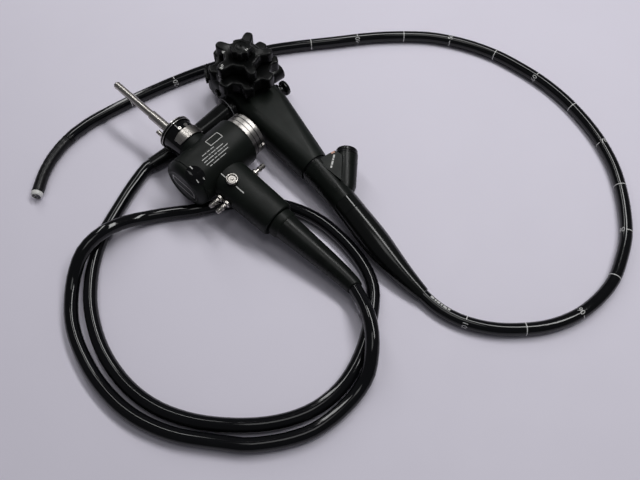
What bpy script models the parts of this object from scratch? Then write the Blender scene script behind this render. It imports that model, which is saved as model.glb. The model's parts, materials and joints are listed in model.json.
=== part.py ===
"""Flexible video gastroscope, laid out on a table as for inspection.

The control section lies on its flat side cover with the angulation knobs up. The origin is on the
table under the knob axis. +X runs down the grip to the insertion tube, +Y is the side of the valves
and the channel port, and the universal cord leaves on -Y.
"""

import math

import bmesh
import bpy
from mathutils import Matrix, Vector

MM = 0.001
GAP = 0.3 * MM                    # clearance between pieces that touch

# Control body, as limits of its moulded shell
BODY_LEFT = -25.0 * MM            # side of the universal cord
BODY_RIGHT = 20.0 * MM            # side of the valves
BODY_HEIGHT = 34.0 * MM           # top of the shell above the table
BODY_CORNER = 8.0 * MM            # corner radius of the head's section
HEAD_END = -24.0 * MM             # where the head cover closes the shell
HEAD_COVER_LENGTH = 11.7 * MM
GRIP_START = 37.0 * MM            # where the head starts to narrow into the grip
GRIP_LENGTH = 79.5 * MM
GRIP_WIDTH = 31.0 * MM            # at its lower end
GRIP_CORNER = 15.0 * MM
SIDE_COVER_THICKNESS = 3.2 * MM
CHASSIS_THICKNESS = 2.2 * MM
REBATE_MARGIN = 4.5 * MM          # shell left round the chassis plate
POCKET_MARGIN = 2.5 * MM          # ledge that the chassis plate rests on
POCKET_LENGTH = 53.0 * MM
ROOF_THICKNESS = 6.0 * MM

# Knob stack, all of it turning about the Z axis through the origin
BOSS_RADIUS = 17.0 * MM
BOSS_HEIGHT = 4.5 * MM
BUSH_RADIUS = 9.0 * MM
BUSH_FLANGE_RADIUS = 12.0 * MM
BUSH_FLANGE_THICKNESS = 1.5 * MM
SPINDLE_RADIUS = 2.0 * MM
SPINDLE_FOOT_RADIUS = 5.0 * MM
SPINDLE_FOOT_THICKNESS = 1.2 * MM
SHAFT_WALL = 1.6 * MM
DRUM_RADIUS = 5.5 * MM            # pitch radius of the sprocket that pulls the wires
DRUM_FLANGE_RADIUS = 7.5 * MM
DRUM_FLANGE_THICKNESS = 1.0 * MM
DRUM_WIDTH = 5.5 * MM
DRUM_SPACING = 1.2 * MM
LEVER_THICKNESS = 2.4 * MM
LEVER_RING_RADIUS = 16.0 * MM
LEVER_REACH = 37.7 * MM
LEVER_TAB_THICKNESS = 2.5 * MM
LEVER_TAB_HEIGHT = 9.0 * MM
LEVER_ANGLE = -127.0              # degrees, where the finger tab stands at rest
LEVER_TAB_SPAN = 30.0             # degrees
UD_KNOB_RADIUS = 33.5 * MM
UD_KNOB_THICKNESS = 12.0 * MM
UD_KNOB_SCALLOP = 7.0 * MM
UD_KNOB_PETALS = 8
UD_KNOB_PHASE = 17.0              # degrees
RL_KNOB_RADIUS = 28.5 * MM
RL_KNOB_THICKNESS = 10.5 * MM
RL_KNOB_SCALLOP = 11.5 * MM
RL_KNOB_PETALS = 5
RL_KNOB_PHASE = 129.0             # degrees
UD_PETAL_NARROWNESS = 0.1           # 0 for broad petals
RL_PETAL_NARROWNESS = 0.5           # towards 1 for fingers
RL_HUB_RADIUS = 9.5 * MM
RL_HUB_HEIGHT = 2.3 * MM
KNOB_SPACING = 0.6 * MM
LOCK_KNOB_RADIUS = 10.5 * MM
LOCK_KNOB_HEIGHT = 8.6 * MM
LOCK_KNOB_ROOF = 1.5 * MM

# Valves on the right side of the head
VALVE_HEIGHT = 20.0 * MM          # axis above the table
SUCTION_X = 3.5 * MM
AIR_WATER_X = 24.5 * MM
VALVE_BODY_RADIUS = 6.0 * MM
VALVE_BODY_LENGTH = 11.0 * MM
VALVE_SEAT_RADIUS = 7.8 * MM
VALVE_SEAT_HEIGHT = 2.2 * MM
VALVE_BORE_RADIUS = 4.2 * MM
VALVE_FLOOR = 1.5 * MM
VALVE_TRAVEL = 4.0 * MM
SUCTION_CAP_RADIUS = 8.2 * MM
SUCTION_CAP_HEIGHT = 13.5 * MM
AIR_WATER_CAP_RADIUS = 7.6 * MM
AIR_WATER_CAP_HEIGHT = 4.5 * MM

# Remote switches
SWITCH_RADIUS = 3.7 * MM
SWITCH_LENGTH = 5.6 * MM
SWITCH_SOCKET_DEPTH = 4.0 * MM
SWITCH_TRAVEL = 1.0 * MM
SWITCH_HEIGHT = 20.0 * MM
SIDE_SWITCH_X = -13.0 * MM
END_SWITCH_PITCH = 11.0 * MM

# Universal cord's collar and boot on the left side
COLLAR_X = 11.0 * MM
COLLAR_HEIGHT = 18.0 * MM
COLLAR_RADIUS = 14.2 * MM
COLLAR_LENGTH = 7.7 * MM
COLLAR_SPIGOT_RADIUS = 8.0 * MM
COLLAR_SPIGOT_LENGTH = 6.0 * MM
CORD_BOOT_ROOT_RADIUS = 11.6 * MM
CORD_BOOT_END_RADIUS = 7.4 * MM
CORD_DIAMETER = 12.0 * MM

# Lower end of the grip: step ring, channel branch, nut and insertion boot
END_RING_RADIUS = 13.6 * MM
END_RING_LENGTH = 2.2 * MM
BRANCH_ROOT_RADIUS = 14.6 * MM
BRANCH_END_RADIUS = 12.3 * MM
BRANCH_LENGTH = 44.7 * MM
PORT_RADIUS = 10.8 * MM
PORT_TIP = Vector((128.5, 19.5, 21.0)) * MM
PORT_ROOT = Vector((155.5, -7.0, 19.0)) * MM
PORT_RING_LENGTH = 2.4 * MM
PORT_BORE_RADIUS = 3.0 * MM
WEB_THICKNESS = 11.0 * MM         # of the web between the branch and its port
BIOPSY_VALVE_RADIUS = 10.2 * MM
BIOPSY_VALVE_HEIGHT = 4.0 * MM
BIOPSY_DISH_RADIUS = 6.0 * MM
BIOPSY_DISH_DEPTH = 1.6 * MM
NUT_RADIUS = 12.5 * MM
NUT_LENGTH = 13.6 * MM
INSERTION_BOOT_RADIUS = 13.0 * MM
INSERTION_BOOT_END_RADIUS = 6.5 * MM
INSERTION_TUBE_DIAMETER = 11.0 * MM
TUBE_END_STRAIGHT = 5.0 * MM      # of both long tubes, where they leave a boot
TUBE_POINT_SPACING = 2.45         # of both long tubes, in diameters

# Bending section: a chain of articulated rings under a rubber cover
BENDING_START = Vector((-70.6, -162.8, 5.7)) * MM
BENDING_HEADING = -74.0           # degrees, of the fixed base ring
REST_BEND = 5.0                   # degrees at each up-down joint as it lies
RING_PITCH = 6.0 * MM
RING_RADIUS = 4.6 * MM
RING_WALL = 1.6 * MM
RING_BAND = 2.4 * MM
EAR_RADIUS = 1.45 * MM
EAR_THICKNESS = 0.5 * MM
EAR_POINTS = 6                    # round the end of an ear
EAR_STEP = 0.25 * MM              # gap between the inner and the outer ear
PIN_RADIUS = 0.6 * MM
PIN_CLEARANCE = 0.12 * MM
JOINT_KINDS = ("ud", "ud", "rl") * 3
BASE_COLLAR_LENGTH = 3.3 * MM
BASE_COLLAR_RADIUS = 5.4 * MM
RUBBER_RADIUS = 5.3 * MM
RUBBER_WALL = 0.4 * MM
TIP_RADIUS = 5.3 * MM
TIP_LENGTH = 12.0 * MM
TIP_SPIGOT_LENGTH = 2.4 * MM
LENS_RADIUS = 1.6 * MM
LENS_OFFSET = 1.9 * MM
LENS_THICKNESS = 0.8 * MM
TIP_CHANNEL_RADIUS = 1.4 * MM
TIP_CHANNEL_OFFSET = 2.3 * MM

# Connector, in a frame of its own: U along its grip, V across to the electrical socket, W up
CONNECTOR_PLACE = Vector((60.4, -83.5, 31.4)) * MM
CONNECTOR_YAW = 8.2               # degrees
CONNECTOR_PITCH = -5.9            # degrees, its neck lies on the cord's boot and its grip on the cord
BARREL_RADIUS = 23.7 * MM
BARREL_BACK = 26.5 * MM           # from the grip's axis to the end cap
BARREL_FRONT = 35.5 * MM          # from the grip's axis to the socket
END_CAP_LENGTH = 8.0 * MM
END_CAP_FACE_RADIUS = 18.0 * MM
END_CAP_DISH = 0.8 * MM
SOCKET_RADIUS = 20.5 * MM
SOCKET_WALL = 2.6 * MM
SOCKET_LENGTH = 13.0 * MM
SOCKET_SLOT_WIDTH = 4.0 * MM
SOCKET_INSERT_LENGTH = 5.5 * MM
CONTACT_RADIUS = 1.1 * MM
CONTACT_HEIGHT = 3.0 * MM
CONTACT_CIRCLE = 11.0 * MM
CONTACT_COUNT = 8
NECK_RADIUS = 15.5 * MM
NECK_LENGTH = 45.0 * MM           # from the barrel's axis
FLANGE_RADIUS = 17.0 * MM
FLANGE_THICKNESS = 4.0 * MM
INDEX_PLATE_THICKNESS = 1.3 * MM
INDEX_PLATE_WIDTH = 10.5 * MM
INDEX_PLATE_SPAN = 112.0          # degrees round the neck
INDEX_PLATE_ANGLE = 75.0          # of its middle
INDEX_PLATE_PLACE = -36.0 * MM
GUIDE_ROD_RADIUS = 3.5 * MM
GUIDE_SLEEVE_RADIUS = 4.4 * MM
GUIDE_SLEEVE_LENGTH = 28.0 * MM
GUIDE_ROD_LENGTH = 76.0 * MM
GUIDE_ROD_OFFSET = -2.0 * MM
GUIDE_WINDOW_LENGTH = 1.0 * MM
AIR_PIPE_RADIUS = 2.2 * MM
AIR_PIPE_LENGTH = 11.0 * MM
AIR_PIPE_OFFSET = -10.0 * MM
PLUG_GRIP_WIDTH = 38.0 * MM
PLUG_GRIP_HEIGHT = 28.0 * MM
PLUG_GRIP_END = 83.0 * MM
PLUG_GRIP_END_WIDTH = 34.0 * MM
PLUG_NUT_RADIUS = 13.6 * MM
PLUG_NUT_LENGTH = 9.0 * MM
PLUG_BOOT_RADIUS = 12.4 * MM
PLUG_BOOT_END_RADIUS = 7.2 * MM
FLUTE_DEPTH = 0.7 * MM
NIPPLE_RADIUS = 2.0 * MM
NIPPLE_BARB_RADIUS = 2.9 * MM
NIPPLE_LENGTH = 13.0 * MM
SUCTION_NIPPLE_U = 31.0 * MM
WATER_NIPPLE_U = 39.5 * MM
AIR_NIPPLE_U = 35.0 * MM
VENT_U = 32.0 * MM
VENT_V = -5.0 * MM
VENT_RADIUS = 5.6 * MM
VENT_HEIGHT = 3.2 * MM
VENT_PIN_RADIUS = 1.3 * MM

# Routes of the two long tubes, points chosen by hand on the table, in millimetres
INSERTION_ROUTE = (
    (291, -16, 5.8), (310, -9, 5.6), (330, 5, 5.6), (347, 24, 5.6), (360, 45, 5.6), (368, 69, 5.6),
    (370, 93, 5.6), (367, 118, 5.6), (358, 141, 5.6), (346, 163, 5.6), (329, 183, 5.6),
    (311, 200, 5.6), (291, 215, 5.6), (268, 227, 5.6), (246, 235, 5.6), (221, 241, 5.6),
    (197, 244, 5.6), (172, 244, 5.6), (148, 241, 5.6), (124, 236, 5.6), (100, 227, 5.6),
    (78, 215, 5.6), (58, 200, 5.6), (42, 183, 5.6), (26, 163, 5.6), (12, 142, 5.6), (-1, 120, 5.6),
    (-14, 99, 5.6), (-27, 77, 5.6), (-38, 56, 5.6), (-46, 32, 5.6), (-53, 7, 5.6), (-60, -18, 5.6),
    (-65, -42, 5.6), (-69, -67, 5.6), (-72, -92, 5.6), (-74, -117, 5.6), (-74.5, -138, 5.6),
)
CORD_ROUTE = (
    (12, -134, 7), (18, -148, 6.2), (26, -163, 6.2), (35, -179, 6.2), (44, -194, 6.2),
    (55, -207.5, 6.2), (68, -220, 6.2), (82, -230.5, 6.2), (96, -239, 6.2), (111, -245.5, 6.2),
    (127, -250.5, 6.2), (143, -253.5, 6.2), (160, -254.5, 6.2), (177, -253.5, 6.2), (194, -250, 6.2),
    (210, -244, 6.2), (225, -235.5, 6.2), (239, -225, 6.2), (251.5, -213, 6.2), (263, -200, 6.2),
    (273, -186, 6.2), (281, -171, 6.2), (286.5, -155, 6.2), (288.5, -138, 6.2), (287, -121, 6.2),
    (282, -104.5, 6.2), (274.5, -89, 6.2), (265, -74.5, 6.2), (254, -60.5, 6.2), (241.5, -48, 6.2),
    (227, -40.5, 6.2), (210, -36.5, 6.2), (193, -35, 6.2), (175, -35.5, 6.2), (158, -38, 6.2),
    (142, -43.5, 6.2), (127, -51.5, 6.2), (113, -62, 6.2), (101, -74.5, 6.2), (91.5, -88, 6.2),
    (84, -102.5, 6.2), (77, -117, 6.2), (68.5, -131, 6.2), (60.5, -144.5, 6.3), (54.5, -158, 7.6),
    (51.5, -173, 13.0), (51.3, -189, 18.6), (52.8, -205, 20.2), (57, -220, 18.2), (64.5, -233, 12.2),
    (75, -244, 7.6), (88, -253, 6.2), (102, -260, 6.2), (118, -265, 6.2), (135, -268, 6.2),
    (152, -269.5, 6.2), (170, -269, 6.2), (188, -266.5, 6.2), (205, -261.5, 6.2), (221, -254, 6.2),
    (236, -244.5, 6.2), (249.5, -233, 6.2), (262, -221.5, 6.2), (274.5, -209.5, 6.2),
    (284.7, -195, 6.2), (293.2, -179.7, 6.2), (299.3, -163.4, 6.2), (301.5, -146, 6.2),
    (301, -129.5, 6.2), (298.5, -114.5, 6.8), (294, -101.5, 11), (285.5, -90.5, 15.8),
    (276.5, -81.8, 19.0), (267, -74.8, 20.0), (257.5, -69.5, 19.4), (248, -65.5, 17.4),
    (239.5, -62.8, 15.7),
)
CORD_END = Vector((232.0, -61.0, 14.6)) * MM
CORD_BOOT_PATH = ((11, -45, 15.0), (10.6, -70, 10.8), (9.9, -96, 8.4))
CORD_BOOT_TIP = Vector((9.0, -120.0, 7.2)) * MM
INSERTION_BOOT_PATH = ((202, -16.4, 15.2), (228, -18.4, 12.2), (250, -18.9, 9.2))
INSERTION_BOOT_TIP = Vector((271.0, -18.0, 6.7)) * MM
BRANCH_DROP = Vector((0.0, -3.5, -0.7)) * MM   # how far the branch's axis leaves the grip's

DARK = ((0.012, 0.014, 0.012), 0.45, 0.0)
BLACK = ((0.006, 0.006, 0.007), 0.30, 0.0)
GLOSS = ((0.004, 0.004, 0.006), 0.12, 0.0)
RUBBER = ((0.010, 0.010, 0.011), 0.60, 0.0)
STEEL = ((0.55, 0.53, 0.50), 0.28, 1.0)
BRASS = ((0.62, 0.47, 0.24), 0.35, 1.0)
WHITE = ((0.72, 0.72, 0.70), 0.40, 0.0)
GLASS = ((0.05, 0.06, 0.09), 0.05, 0.0)

X_AXIS = Vector((1.0, 0.0, 0.0))
Y_AXIS = Vector((0.0, 1.0, 0.0))
Z_AXIS = Vector((0.0, 0.0, 1.0))


# Sizes that follow from the ones above
BODY_BOTTOM = SIDE_COVER_THICKNESS + GAP
GRIP_END = GRIP_START + GRIP_LENGTH
GRIP_AXIS_Y = BODY_LEFT + GRIP_WIDTH / 2
GRIP_AXIS_Z = (BODY_BOTTOM + BODY_HEIGHT) / 2
CHASSIS_BOTTOM = BODY_BOTTOM
CHASSIS_TOP = CHASSIS_BOTTOM + CHASSIS_THICKNESS
LEDGE = CHASSIS_TOP + GAP
ROOF = BODY_HEIGHT - ROOF_THICKNESS
POCKET_X0 = HEAD_END + REBATE_MARGIN + POCKET_MARGIN
POCKET_X1 = POCKET_X0 + POCKET_LENGTH
POCKET_Y0 = BODY_LEFT + REBATE_MARGIN + POCKET_MARGIN
POCKET_Y1 = BODY_RIGHT - REBATE_MARGIN - POCKET_MARGIN
SPINDLE_BOTTOM = LEDGE
RL_SHAFT_BOTTOM = SPINDLE_BOTTOM + SPINDLE_FOOT_THICKNESS + GAP
RL_SHAFT_INNER = SPINDLE_RADIUS + GAP
RL_SHAFT_OUTER = RL_SHAFT_INNER + SHAFT_WALL
UD_SHAFT_BOTTOM = RL_SHAFT_BOTTOM + DRUM_WIDTH + DRUM_SPACING
UD_SHAFT_INNER = RL_SHAFT_OUTER + GAP
UD_SHAFT_OUTER = UD_SHAFT_INNER + SHAFT_WALL
LEVER_BOTTOM = BODY_HEIGHT + BOSS_HEIGHT + GAP
LEVER_TOP = LEVER_BOTTOM + LEVER_THICKNESS
UD_KNOB_BOTTOM = LEVER_TOP + 2 * GAP
UD_KNOB_TOP = UD_KNOB_BOTTOM + UD_KNOB_THICKNESS
RL_KNOB_BOTTOM = UD_KNOB_TOP + KNOB_SPACING + RL_HUB_HEIGHT
RL_KNOB_TOP = RL_KNOB_BOTTOM + RL_KNOB_THICKNESS
LOCK_KNOB_BOTTOM = RL_KNOB_TOP + GAP
LOCK_KNOB_TOP = LOCK_KNOB_BOTTOM + LOCK_KNOB_HEIGHT
SPINDLE_TOP = LOCK_KNOB_TOP - LOCK_KNOB_ROOF - GAP
VALVE_SEAT_Y = BODY_RIGHT + GAP
COLLAR_FACE = BODY_LEFT - GAP
COLLAR_END = COLLAR_FACE - COLLAR_LENGTH
END_RING_START = GRIP_END + GAP
BRANCH_START = END_RING_START + END_RING_LENGTH + GAP
BRANCH_END = Vector((BRANCH_START + BRANCH_LENGTH, GRIP_AXIS_Y, GRIP_AXIS_Z)) + BRANCH_DROP
PORT_AXIS = (PORT_TIP - PORT_ROOT).normalized()
EAR_OUTER_TOP = RING_RADIUS - 0.3 * MM
EAR_INNER_TOP = EAR_OUTER_TOP - EAR_THICKNESS - EAR_STEP


def clear_scene():
    for thing in list(bpy.data.objects):
        bpy.data.objects.remove(thing, do_unlink=True)


def finish_material(name, finish):
    colour, roughness, metallic = finish
    made = bpy.data.materials.new(name)
    made.use_nodes = True
    shader = made.node_tree.nodes["Principled BSDF"]
    shader.inputs["Base Color"].default_value = (*colour, 1.0)
    shader.inputs["Roughness"].default_value = roughness
    shader.inputs["Metallic"].default_value = metallic
    return made


def place(name, bm, finish, origin=(0.0, 0.0, 0.0), parent=None, smooth=40.0):
    """Turn a bmesh, drawn in its parent's frame, into a named object whose origin is given."""
    bmesh.ops.recalc_face_normals(bm, faces=bm.faces)
    bmesh.ops.translate(bm, vec=-Vector(origin), verts=bm.verts)
    mesh = bpy.data.meshes.new(name)
    bm.to_mesh(mesh)
    bm.free()
    mesh.shade_smooth()
    mesh.set_sharp_from_angle(angle=math.radians(smooth))
    made = bpy.data.objects.new(name, mesh)
    made.location = origin
    made.parent = parent
    if finish is not None:
        mesh.materials.append(finish_material(name, finish))
    bpy.context.scene.collection.objects.link(made)
    return made


def helper(name, bm, parent=None):
    """A cutter or an addition that a Boolean modifier reads."""
    made = place(name, bm, None, parent=parent)
    made.hide_render = True
    made.display_type = "WIRE"
    return made


def combine(target, other, operation):
    change = target.modifiers.new(other.name, "BOOLEAN")
    change.operation = operation
    change.solver = "EXACT"
    change.object = other


def loft(loops, ring=False, open_start=False):
    """Skin loops of equal length. A ring closes on itself, anything else is capped."""
    bm = bmesh.new()
    rows = []
    for loop in loops:
        rows.append([bm.verts.new(point) for point in loop])
    count = len(rows[0])
    pairs = list(zip(rows, rows[1:]))
    if ring:
        pairs.append((rows[-1], rows[0]))
    for low, high in pairs:
        for i in range(count):
            j = (i + 1) % count
            bm.faces.new((low[i], low[j], high[j], high[i]))
    if not ring:
        bm.faces.new(rows[-1])
        if not open_start:
            bm.faces.new(rows[0])
    return bm


def circle(centre, normal, radius, sides, start=0.0):
    normal = Vector(normal).normalized()
    first = normal.cross(Z_AXIS if abs(normal.z) < 0.9 else X_AXIS).normalized()
    second = normal.cross(first)
    points = []
    for i in range(sides):
        angle = start + 2 * math.pi * i / sides
        points.append(Vector(centre) + radius * (math.cos(angle) * first + math.sin(angle) * second))
    return points


def turned(centre, normal, profile, sides, ring=False):
    """Turn a profile of (radius, distance along the axis)."""
    axis = Vector(normal).normalized()
    loops = [circle(Vector(centre) + axis * h, axis, r, sides) for r, h in profile]
    return loft(loops, ring)


def merge(*parts):
    """Put several bmeshes into one."""
    whole = bmesh.new()
    for part in parts:
        mesh = bpy.data.meshes.new("part")
        part.to_mesh(mesh)
        part.free()
        whole.from_mesh(mesh)
        bpy.data.meshes.remove(mesh)
    return whole


def rounded_rectangle(a0, a1, b0, b1, radius, corner_points=5):
    radius = min(radius, 0.499 * (a1 - a0), 0.499 * (b1 - b0))
    corners = (
        (a1 - radius, b0 + radius, -90.0), (a1 - radius, b1 - radius, 0.0),
        (a0 + radius, b1 - radius, 90.0), (a0 + radius, b0 + radius, 180.0),
    )
    points = []
    for a, b, start in corners:
        for i in range(corner_points):
            angle = math.radians(start + 90.0 * i / (corner_points - 1))
            points.append((a + radius * math.cos(angle), b + radius * math.sin(angle)))
    return points


def plate(x0, x1, y0, y1, z0, z1, radius, chamfer=0.0):
    levels = [(z0, chamfer), (z0 + chamfer, 0.0), (z1 - chamfer, 0.0), (z1, chamfer)]
    if chamfer == 0.0:
        levels = [(z0, 0.0), (z1, 0.0)]
    loops = []
    for z, inset in levels:
        outline = rounded_rectangle(x0 + inset, x1 - inset, y0 + inset, y1 - inset, radius - inset)
        loops.append([Vector((x, y, z)) for x, y in outline])
    return loft(loops)


def smooth_curve(points, per_span=12):
    """Points along a Catmull-Rom curve through the given ones."""
    points = [Vector(p) for p in points]
    ends = [2 * points[0] - points[1]] + points + [2 * points[-1] - points[-2]]
    curve = []
    for a, b, c, d in zip(ends, ends[1:], ends[2:], ends[3:]):
        for i in range(per_span):
            t = i / per_span
            curve.append(0.5 * (2 * b + (c - a) * t + (2 * a - 5 * b + 4 * c - d) * t * t
                                + (3 * b - a - 3 * c + d) * t ** 3))
    curve.append(points[-1])
    return curve


def even_points(points, spacing):
    """Points a steady distance apart along the smooth curve through the given ones."""
    curve = smooth_curve(points)
    total = sum((b - a).length for a, b in zip(curve, curve[1:]))
    steps = max(2, round(total / spacing))
    wanted = [total * i / steps for i in range(1, steps)]
    chosen = [curve[0]]
    run = 0.0
    for a, b in zip(curve, curve[1:]):
        length = (b - a).length
        while wanted and run + length >= wanted[0]:
            chosen.append(a.lerp(b, (wanted.pop(0) - run) / length))
        run += length
    chosen.append(curve[-1])
    return chosen


def sweep(path, radius_at, sides, flutes=0, first_direction=None):
    """A tapered bar along a path. radius_at gives the radius at a share of its length."""
    total = sum((b - a).length for a, b in zip(path, path[1:]))
    loops = []
    run = 0.0
    for i, point in enumerate(path):
        before = path[max(0, i - 1)]
        after = path[min(len(path) - 1, i + 1)]
        direction = (after - before).normalized()
        if i == 0 and first_direction is not None:
            direction = Vector(first_direction).normalized()
        if i:
            run += (point - before).length
        side = direction.cross(Z_AXIS).normalized()
        up = side.cross(direction)
        loop = []
        for j in range(sides):
            angle = 2 * math.pi * j / sides
            radius = radius_at(run / total)
            if flutes and j % 2:
                radius -= FLUTE_DEPTH
            loop.append(point + radius * (math.cos(angle) * side + math.sin(angle) * up))
        loops.append(loop)
    return loft(loops)


def lobed(radius, depth, lobes, phase, z, per_lobe, narrow=0.0):
    """Outline of a scalloped knob. narrow turns broad lobes into finger-like ones."""
    low = math.tanh(1.6 * (-1 - narrow))
    high = math.tanh(1.6 * (1 - narrow))
    points = []
    for i in range(lobes * per_lobe):
        angle = 2 * math.pi * i / (lobes * per_lobe)
        share = (math.tanh(1.6 * (math.cos(lobes * angle) - narrow)) - low) / (high - low)
        r = radius - depth * (1 - share)
        turn = angle + math.radians(phase)
        points.append(Vector((r * math.cos(turn), r * math.sin(turn), z)))
    return points


def knob(name, radius, scallop, petals, phase, narrow, bottom, top, bore, dish):
    """A scalloped knob, dished on top and open for its shaft."""
    per_lobe = 8
    edge = 1.6 * MM
    count = petals * per_lobe
    loops = []
    for inset, z in ((1.5 * edge, bottom), (0.4 * edge, bottom + 0.6 * edge), (0.0, bottom + 2.2 * edge),
                     (0.3 * edge, top - edge), (1.4 * edge, top)):
        loops.append(lobed(radius - inset, scallop, petals, phase, z, per_lobe, narrow))
    floor = top - dish
    for r, z in ((bore + 6.0 * MM, top), (bore + 4.5 * MM, floor), (bore, floor), (bore, bottom)):
        loops.append([Vector((r * math.cos(math.radians(phase) + 2 * math.pi * i / count),
                              r * math.sin(math.radians(phase) + 2 * math.pi * i / count), z))
                      for i in range(count)])
    return place(name, loft(loops, ring=True), BLACK)


def body_section(x, right, corner):
    outline = rounded_rectangle(BODY_LEFT, right, BODY_BOTTOM, BODY_HEIGHT, corner, 7)
    return [Vector((x, y, z)) for y, z in outline]


def control_housing():
    grip_right = BODY_LEFT + GRIP_WIDTH
    loops = [body_section(HEAD_END, BODY_RIGHT, BODY_CORNER),
             body_section(GRIP_START - 0.3 * GRIP_START, BODY_RIGHT, BODY_CORNER)]
    for share in (0.0, 0.2, 0.45, 0.72, 0.97):
        right = BODY_RIGHT + (grip_right - BODY_RIGHT) * share
        corner = BODY_CORNER + (GRIP_CORNER - BODY_CORNER) * share
        loops.append(body_section(GRIP_START + share * GRIP_LENGTH, right, corner))
    chamfer = 0.8 * MM
    last = rounded_rectangle(BODY_LEFT + chamfer, grip_right - chamfer, BODY_BOTTOM + chamfer,
                             BODY_HEIGHT - chamfer, GRIP_CORNER, 7)
    loops.append([Vector((GRIP_END, y, z)) for y, z in last])
    housing = place("control_housing", loft(loops), DARK)
    boss = helper("boss_shape", turned((0, 0, BODY_HEIGHT - MM), Z_AXIS,
                                       [(BOSS_RADIUS, 0.0), (BOSS_RADIUS, BOSS_HEIGHT),
                                        (BOSS_RADIUS - MM, BOSS_HEIGHT + MM)], 32))
    combine(housing, boss, "UNION")
    rebate = plate(POCKET_X0 - POCKET_MARGIN, POCKET_X1 + POCKET_MARGIN, POCKET_Y0 - POCKET_MARGIN,
                   POCKET_Y1 + POCKET_MARGIN, -MM, LEDGE, BODY_CORNER / 2)
    combine(housing, helper("rebate_cut", rebate), "DIFFERENCE")
    pocket = plate(POCKET_X0, POCKET_X1, POCKET_Y0, POCKET_Y1, LEDGE - MM, ROOF, BODY_CORNER / 2)
    combine(housing, helper("pocket_cut", pocket), "DIFFERENCE")
    bore = turned((0, 0, ROOF - MM), Z_AXIS, [(BUSH_RADIUS + GAP, 0.0),
                                              (BUSH_RADIUS + GAP, ROOF_THICKNESS + BOSS_HEIGHT + 2 * MM)], 24)
    combine(housing, helper("bush_bore", bore), "DIFFERENCE")
    for name, x in (("suction_bore", SUCTION_X), ("air_water_bore", AIR_WATER_X)):
        hole = turned((x, POCKET_Y1 - MM, VALVE_HEIGHT), Y_AXIS,
                      [(VALVE_BODY_RADIUS + GAP, 0.0),
                       (VALVE_BODY_RADIUS + GAP, BODY_RIGHT - POCKET_Y1 + 2 * MM)], 20)
        combine(housing, helper(name, hole), "DIFFERENCE")
    hole = turned((COLLAR_X, POCKET_Y0 + MM, COLLAR_HEIGHT), -Y_AXIS,
                  [(COLLAR_SPIGOT_RADIUS + GAP, 0.0),
                   (COLLAR_SPIGOT_RADIUS + GAP, POCKET_Y0 - BODY_LEFT + 2 * MM)], 24)
    combine(housing, helper("collar_bore", hole), "DIFFERENCE")
    for name, y, side in (("switch_1_socket", BODY_RIGHT, 1.0), ("switch_4_socket", BODY_LEFT, -1.0)):
        combine(housing, helper(name, switch_socket(Vector((SIDE_SWITCH_X, y, SWITCH_HEIGHT)),
                                                    Y_AXIS * side)), "DIFFERENCE")


def switch_socket(mouth, outward):
    inner = mouth - outward * SWITCH_SOCKET_DEPTH
    return turned(inner, outward, [(SWITCH_RADIUS + GAP, 0.0),
                                   (SWITCH_RADIUS + GAP, SWITCH_SOCKET_DEPTH + MM)], 16)


def head_cover():
    start = HEAD_END - GAP
    shapes = ((0.0, 0.0), (0.55, 0.6 * MM), (0.85, 2.2 * MM), (1.0, 5.0 * MM))
    loops = []
    for share, inset in shapes:
        outline = rounded_rectangle(BODY_LEFT + inset, BODY_RIGHT - inset, BODY_BOTTOM + inset,
                                    BODY_HEIGHT - inset, BODY_CORNER, 7)
        loops.append([Vector((start - share * HEAD_COVER_LENGTH, y, z)) for y, z in outline])
    cover = place("head_cover", loft(loops), DARK)
    face = start - HEAD_COVER_LENGTH
    for number, y in end_switches():
        socket = switch_socket(Vector((face, y, SWITCH_HEIGHT)), -X_AXIS)
        combine(cover, helper(f"switch_{number}_socket", socket), "DIFFERENCE")


def end_switches():
    middle = (BODY_LEFT + BODY_RIGHT) / 2
    return ((2, middle + END_SWITCH_PITCH / 2), (3, middle - END_SWITCH_PITCH / 2))


def switches():
    face = HEAD_END - GAP - HEAD_COVER_LENGTH
    places = [(1, Vector((SIDE_SWITCH_X, BODY_RIGHT, SWITCH_HEIGHT)), Y_AXIS),
              (4, Vector((SIDE_SWITCH_X, BODY_LEFT, SWITCH_HEIGHT)), -Y_AXIS)]
    places += [(number, Vector((face, y, SWITCH_HEIGHT)), -X_AXIS) for number, y in end_switches()]
    for number, mouth, outward in sorted(places, key=lambda entry: entry[0]):
        inner = mouth - outward * (SWITCH_SOCKET_DEPTH - SWITCH_TRAVEL - GAP)
        dome = 0.9 * MM
        button = turned(inner, outward, [(SWITCH_RADIUS, 0.0), (SWITCH_RADIUS, SWITCH_LENGTH - dome),
                                         (SWITCH_RADIUS - 0.4 * dome, SWITCH_LENGTH - 0.4 * dome),
                                         (SWITCH_RADIUS - 1.5 * dome, SWITCH_LENGTH)], 12)
        place(f"switch_{number}", button, RUBBER, origin=mouth)


def side_cover():
    inset = 1.5 * MM
    cover = plate(HEAD_END + inset, POCKET_X1 + POCKET_MARGIN + REBATE_MARGIN, BODY_LEFT + inset,
                  BODY_RIGHT - inset, 0.0, SIDE_COVER_THICKNESS, BODY_CORNER, 0.8 * MM)
    place("side_cover", cover, DARK)


def chassis_plate():
    edge = POCKET_MARGIN - GAP
    made = plate(POCKET_X0 - edge, POCKET_X1 + edge, POCKET_Y0 - edge, POCKET_Y1 + edge,
                 CHASSIS_BOTTOM, CHASSIS_TOP, BODY_CORNER / 2)
    place("chassis_plate", made, STEEL)


def spindle():
    foot = SPINDLE_FOOT_THICKNESS
    profile = [(SPINDLE_FOOT_RADIUS, 0.0), (SPINDLE_FOOT_RADIUS, foot), (SPINDLE_RADIUS, foot),
               (SPINDLE_RADIUS, SPINDLE_TOP - SPINDLE_BOTTOM)]
    place("spindle", turned((0, 0, SPINDLE_BOTTOM), Z_AXIS, profile, 16), STEEL)


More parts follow.
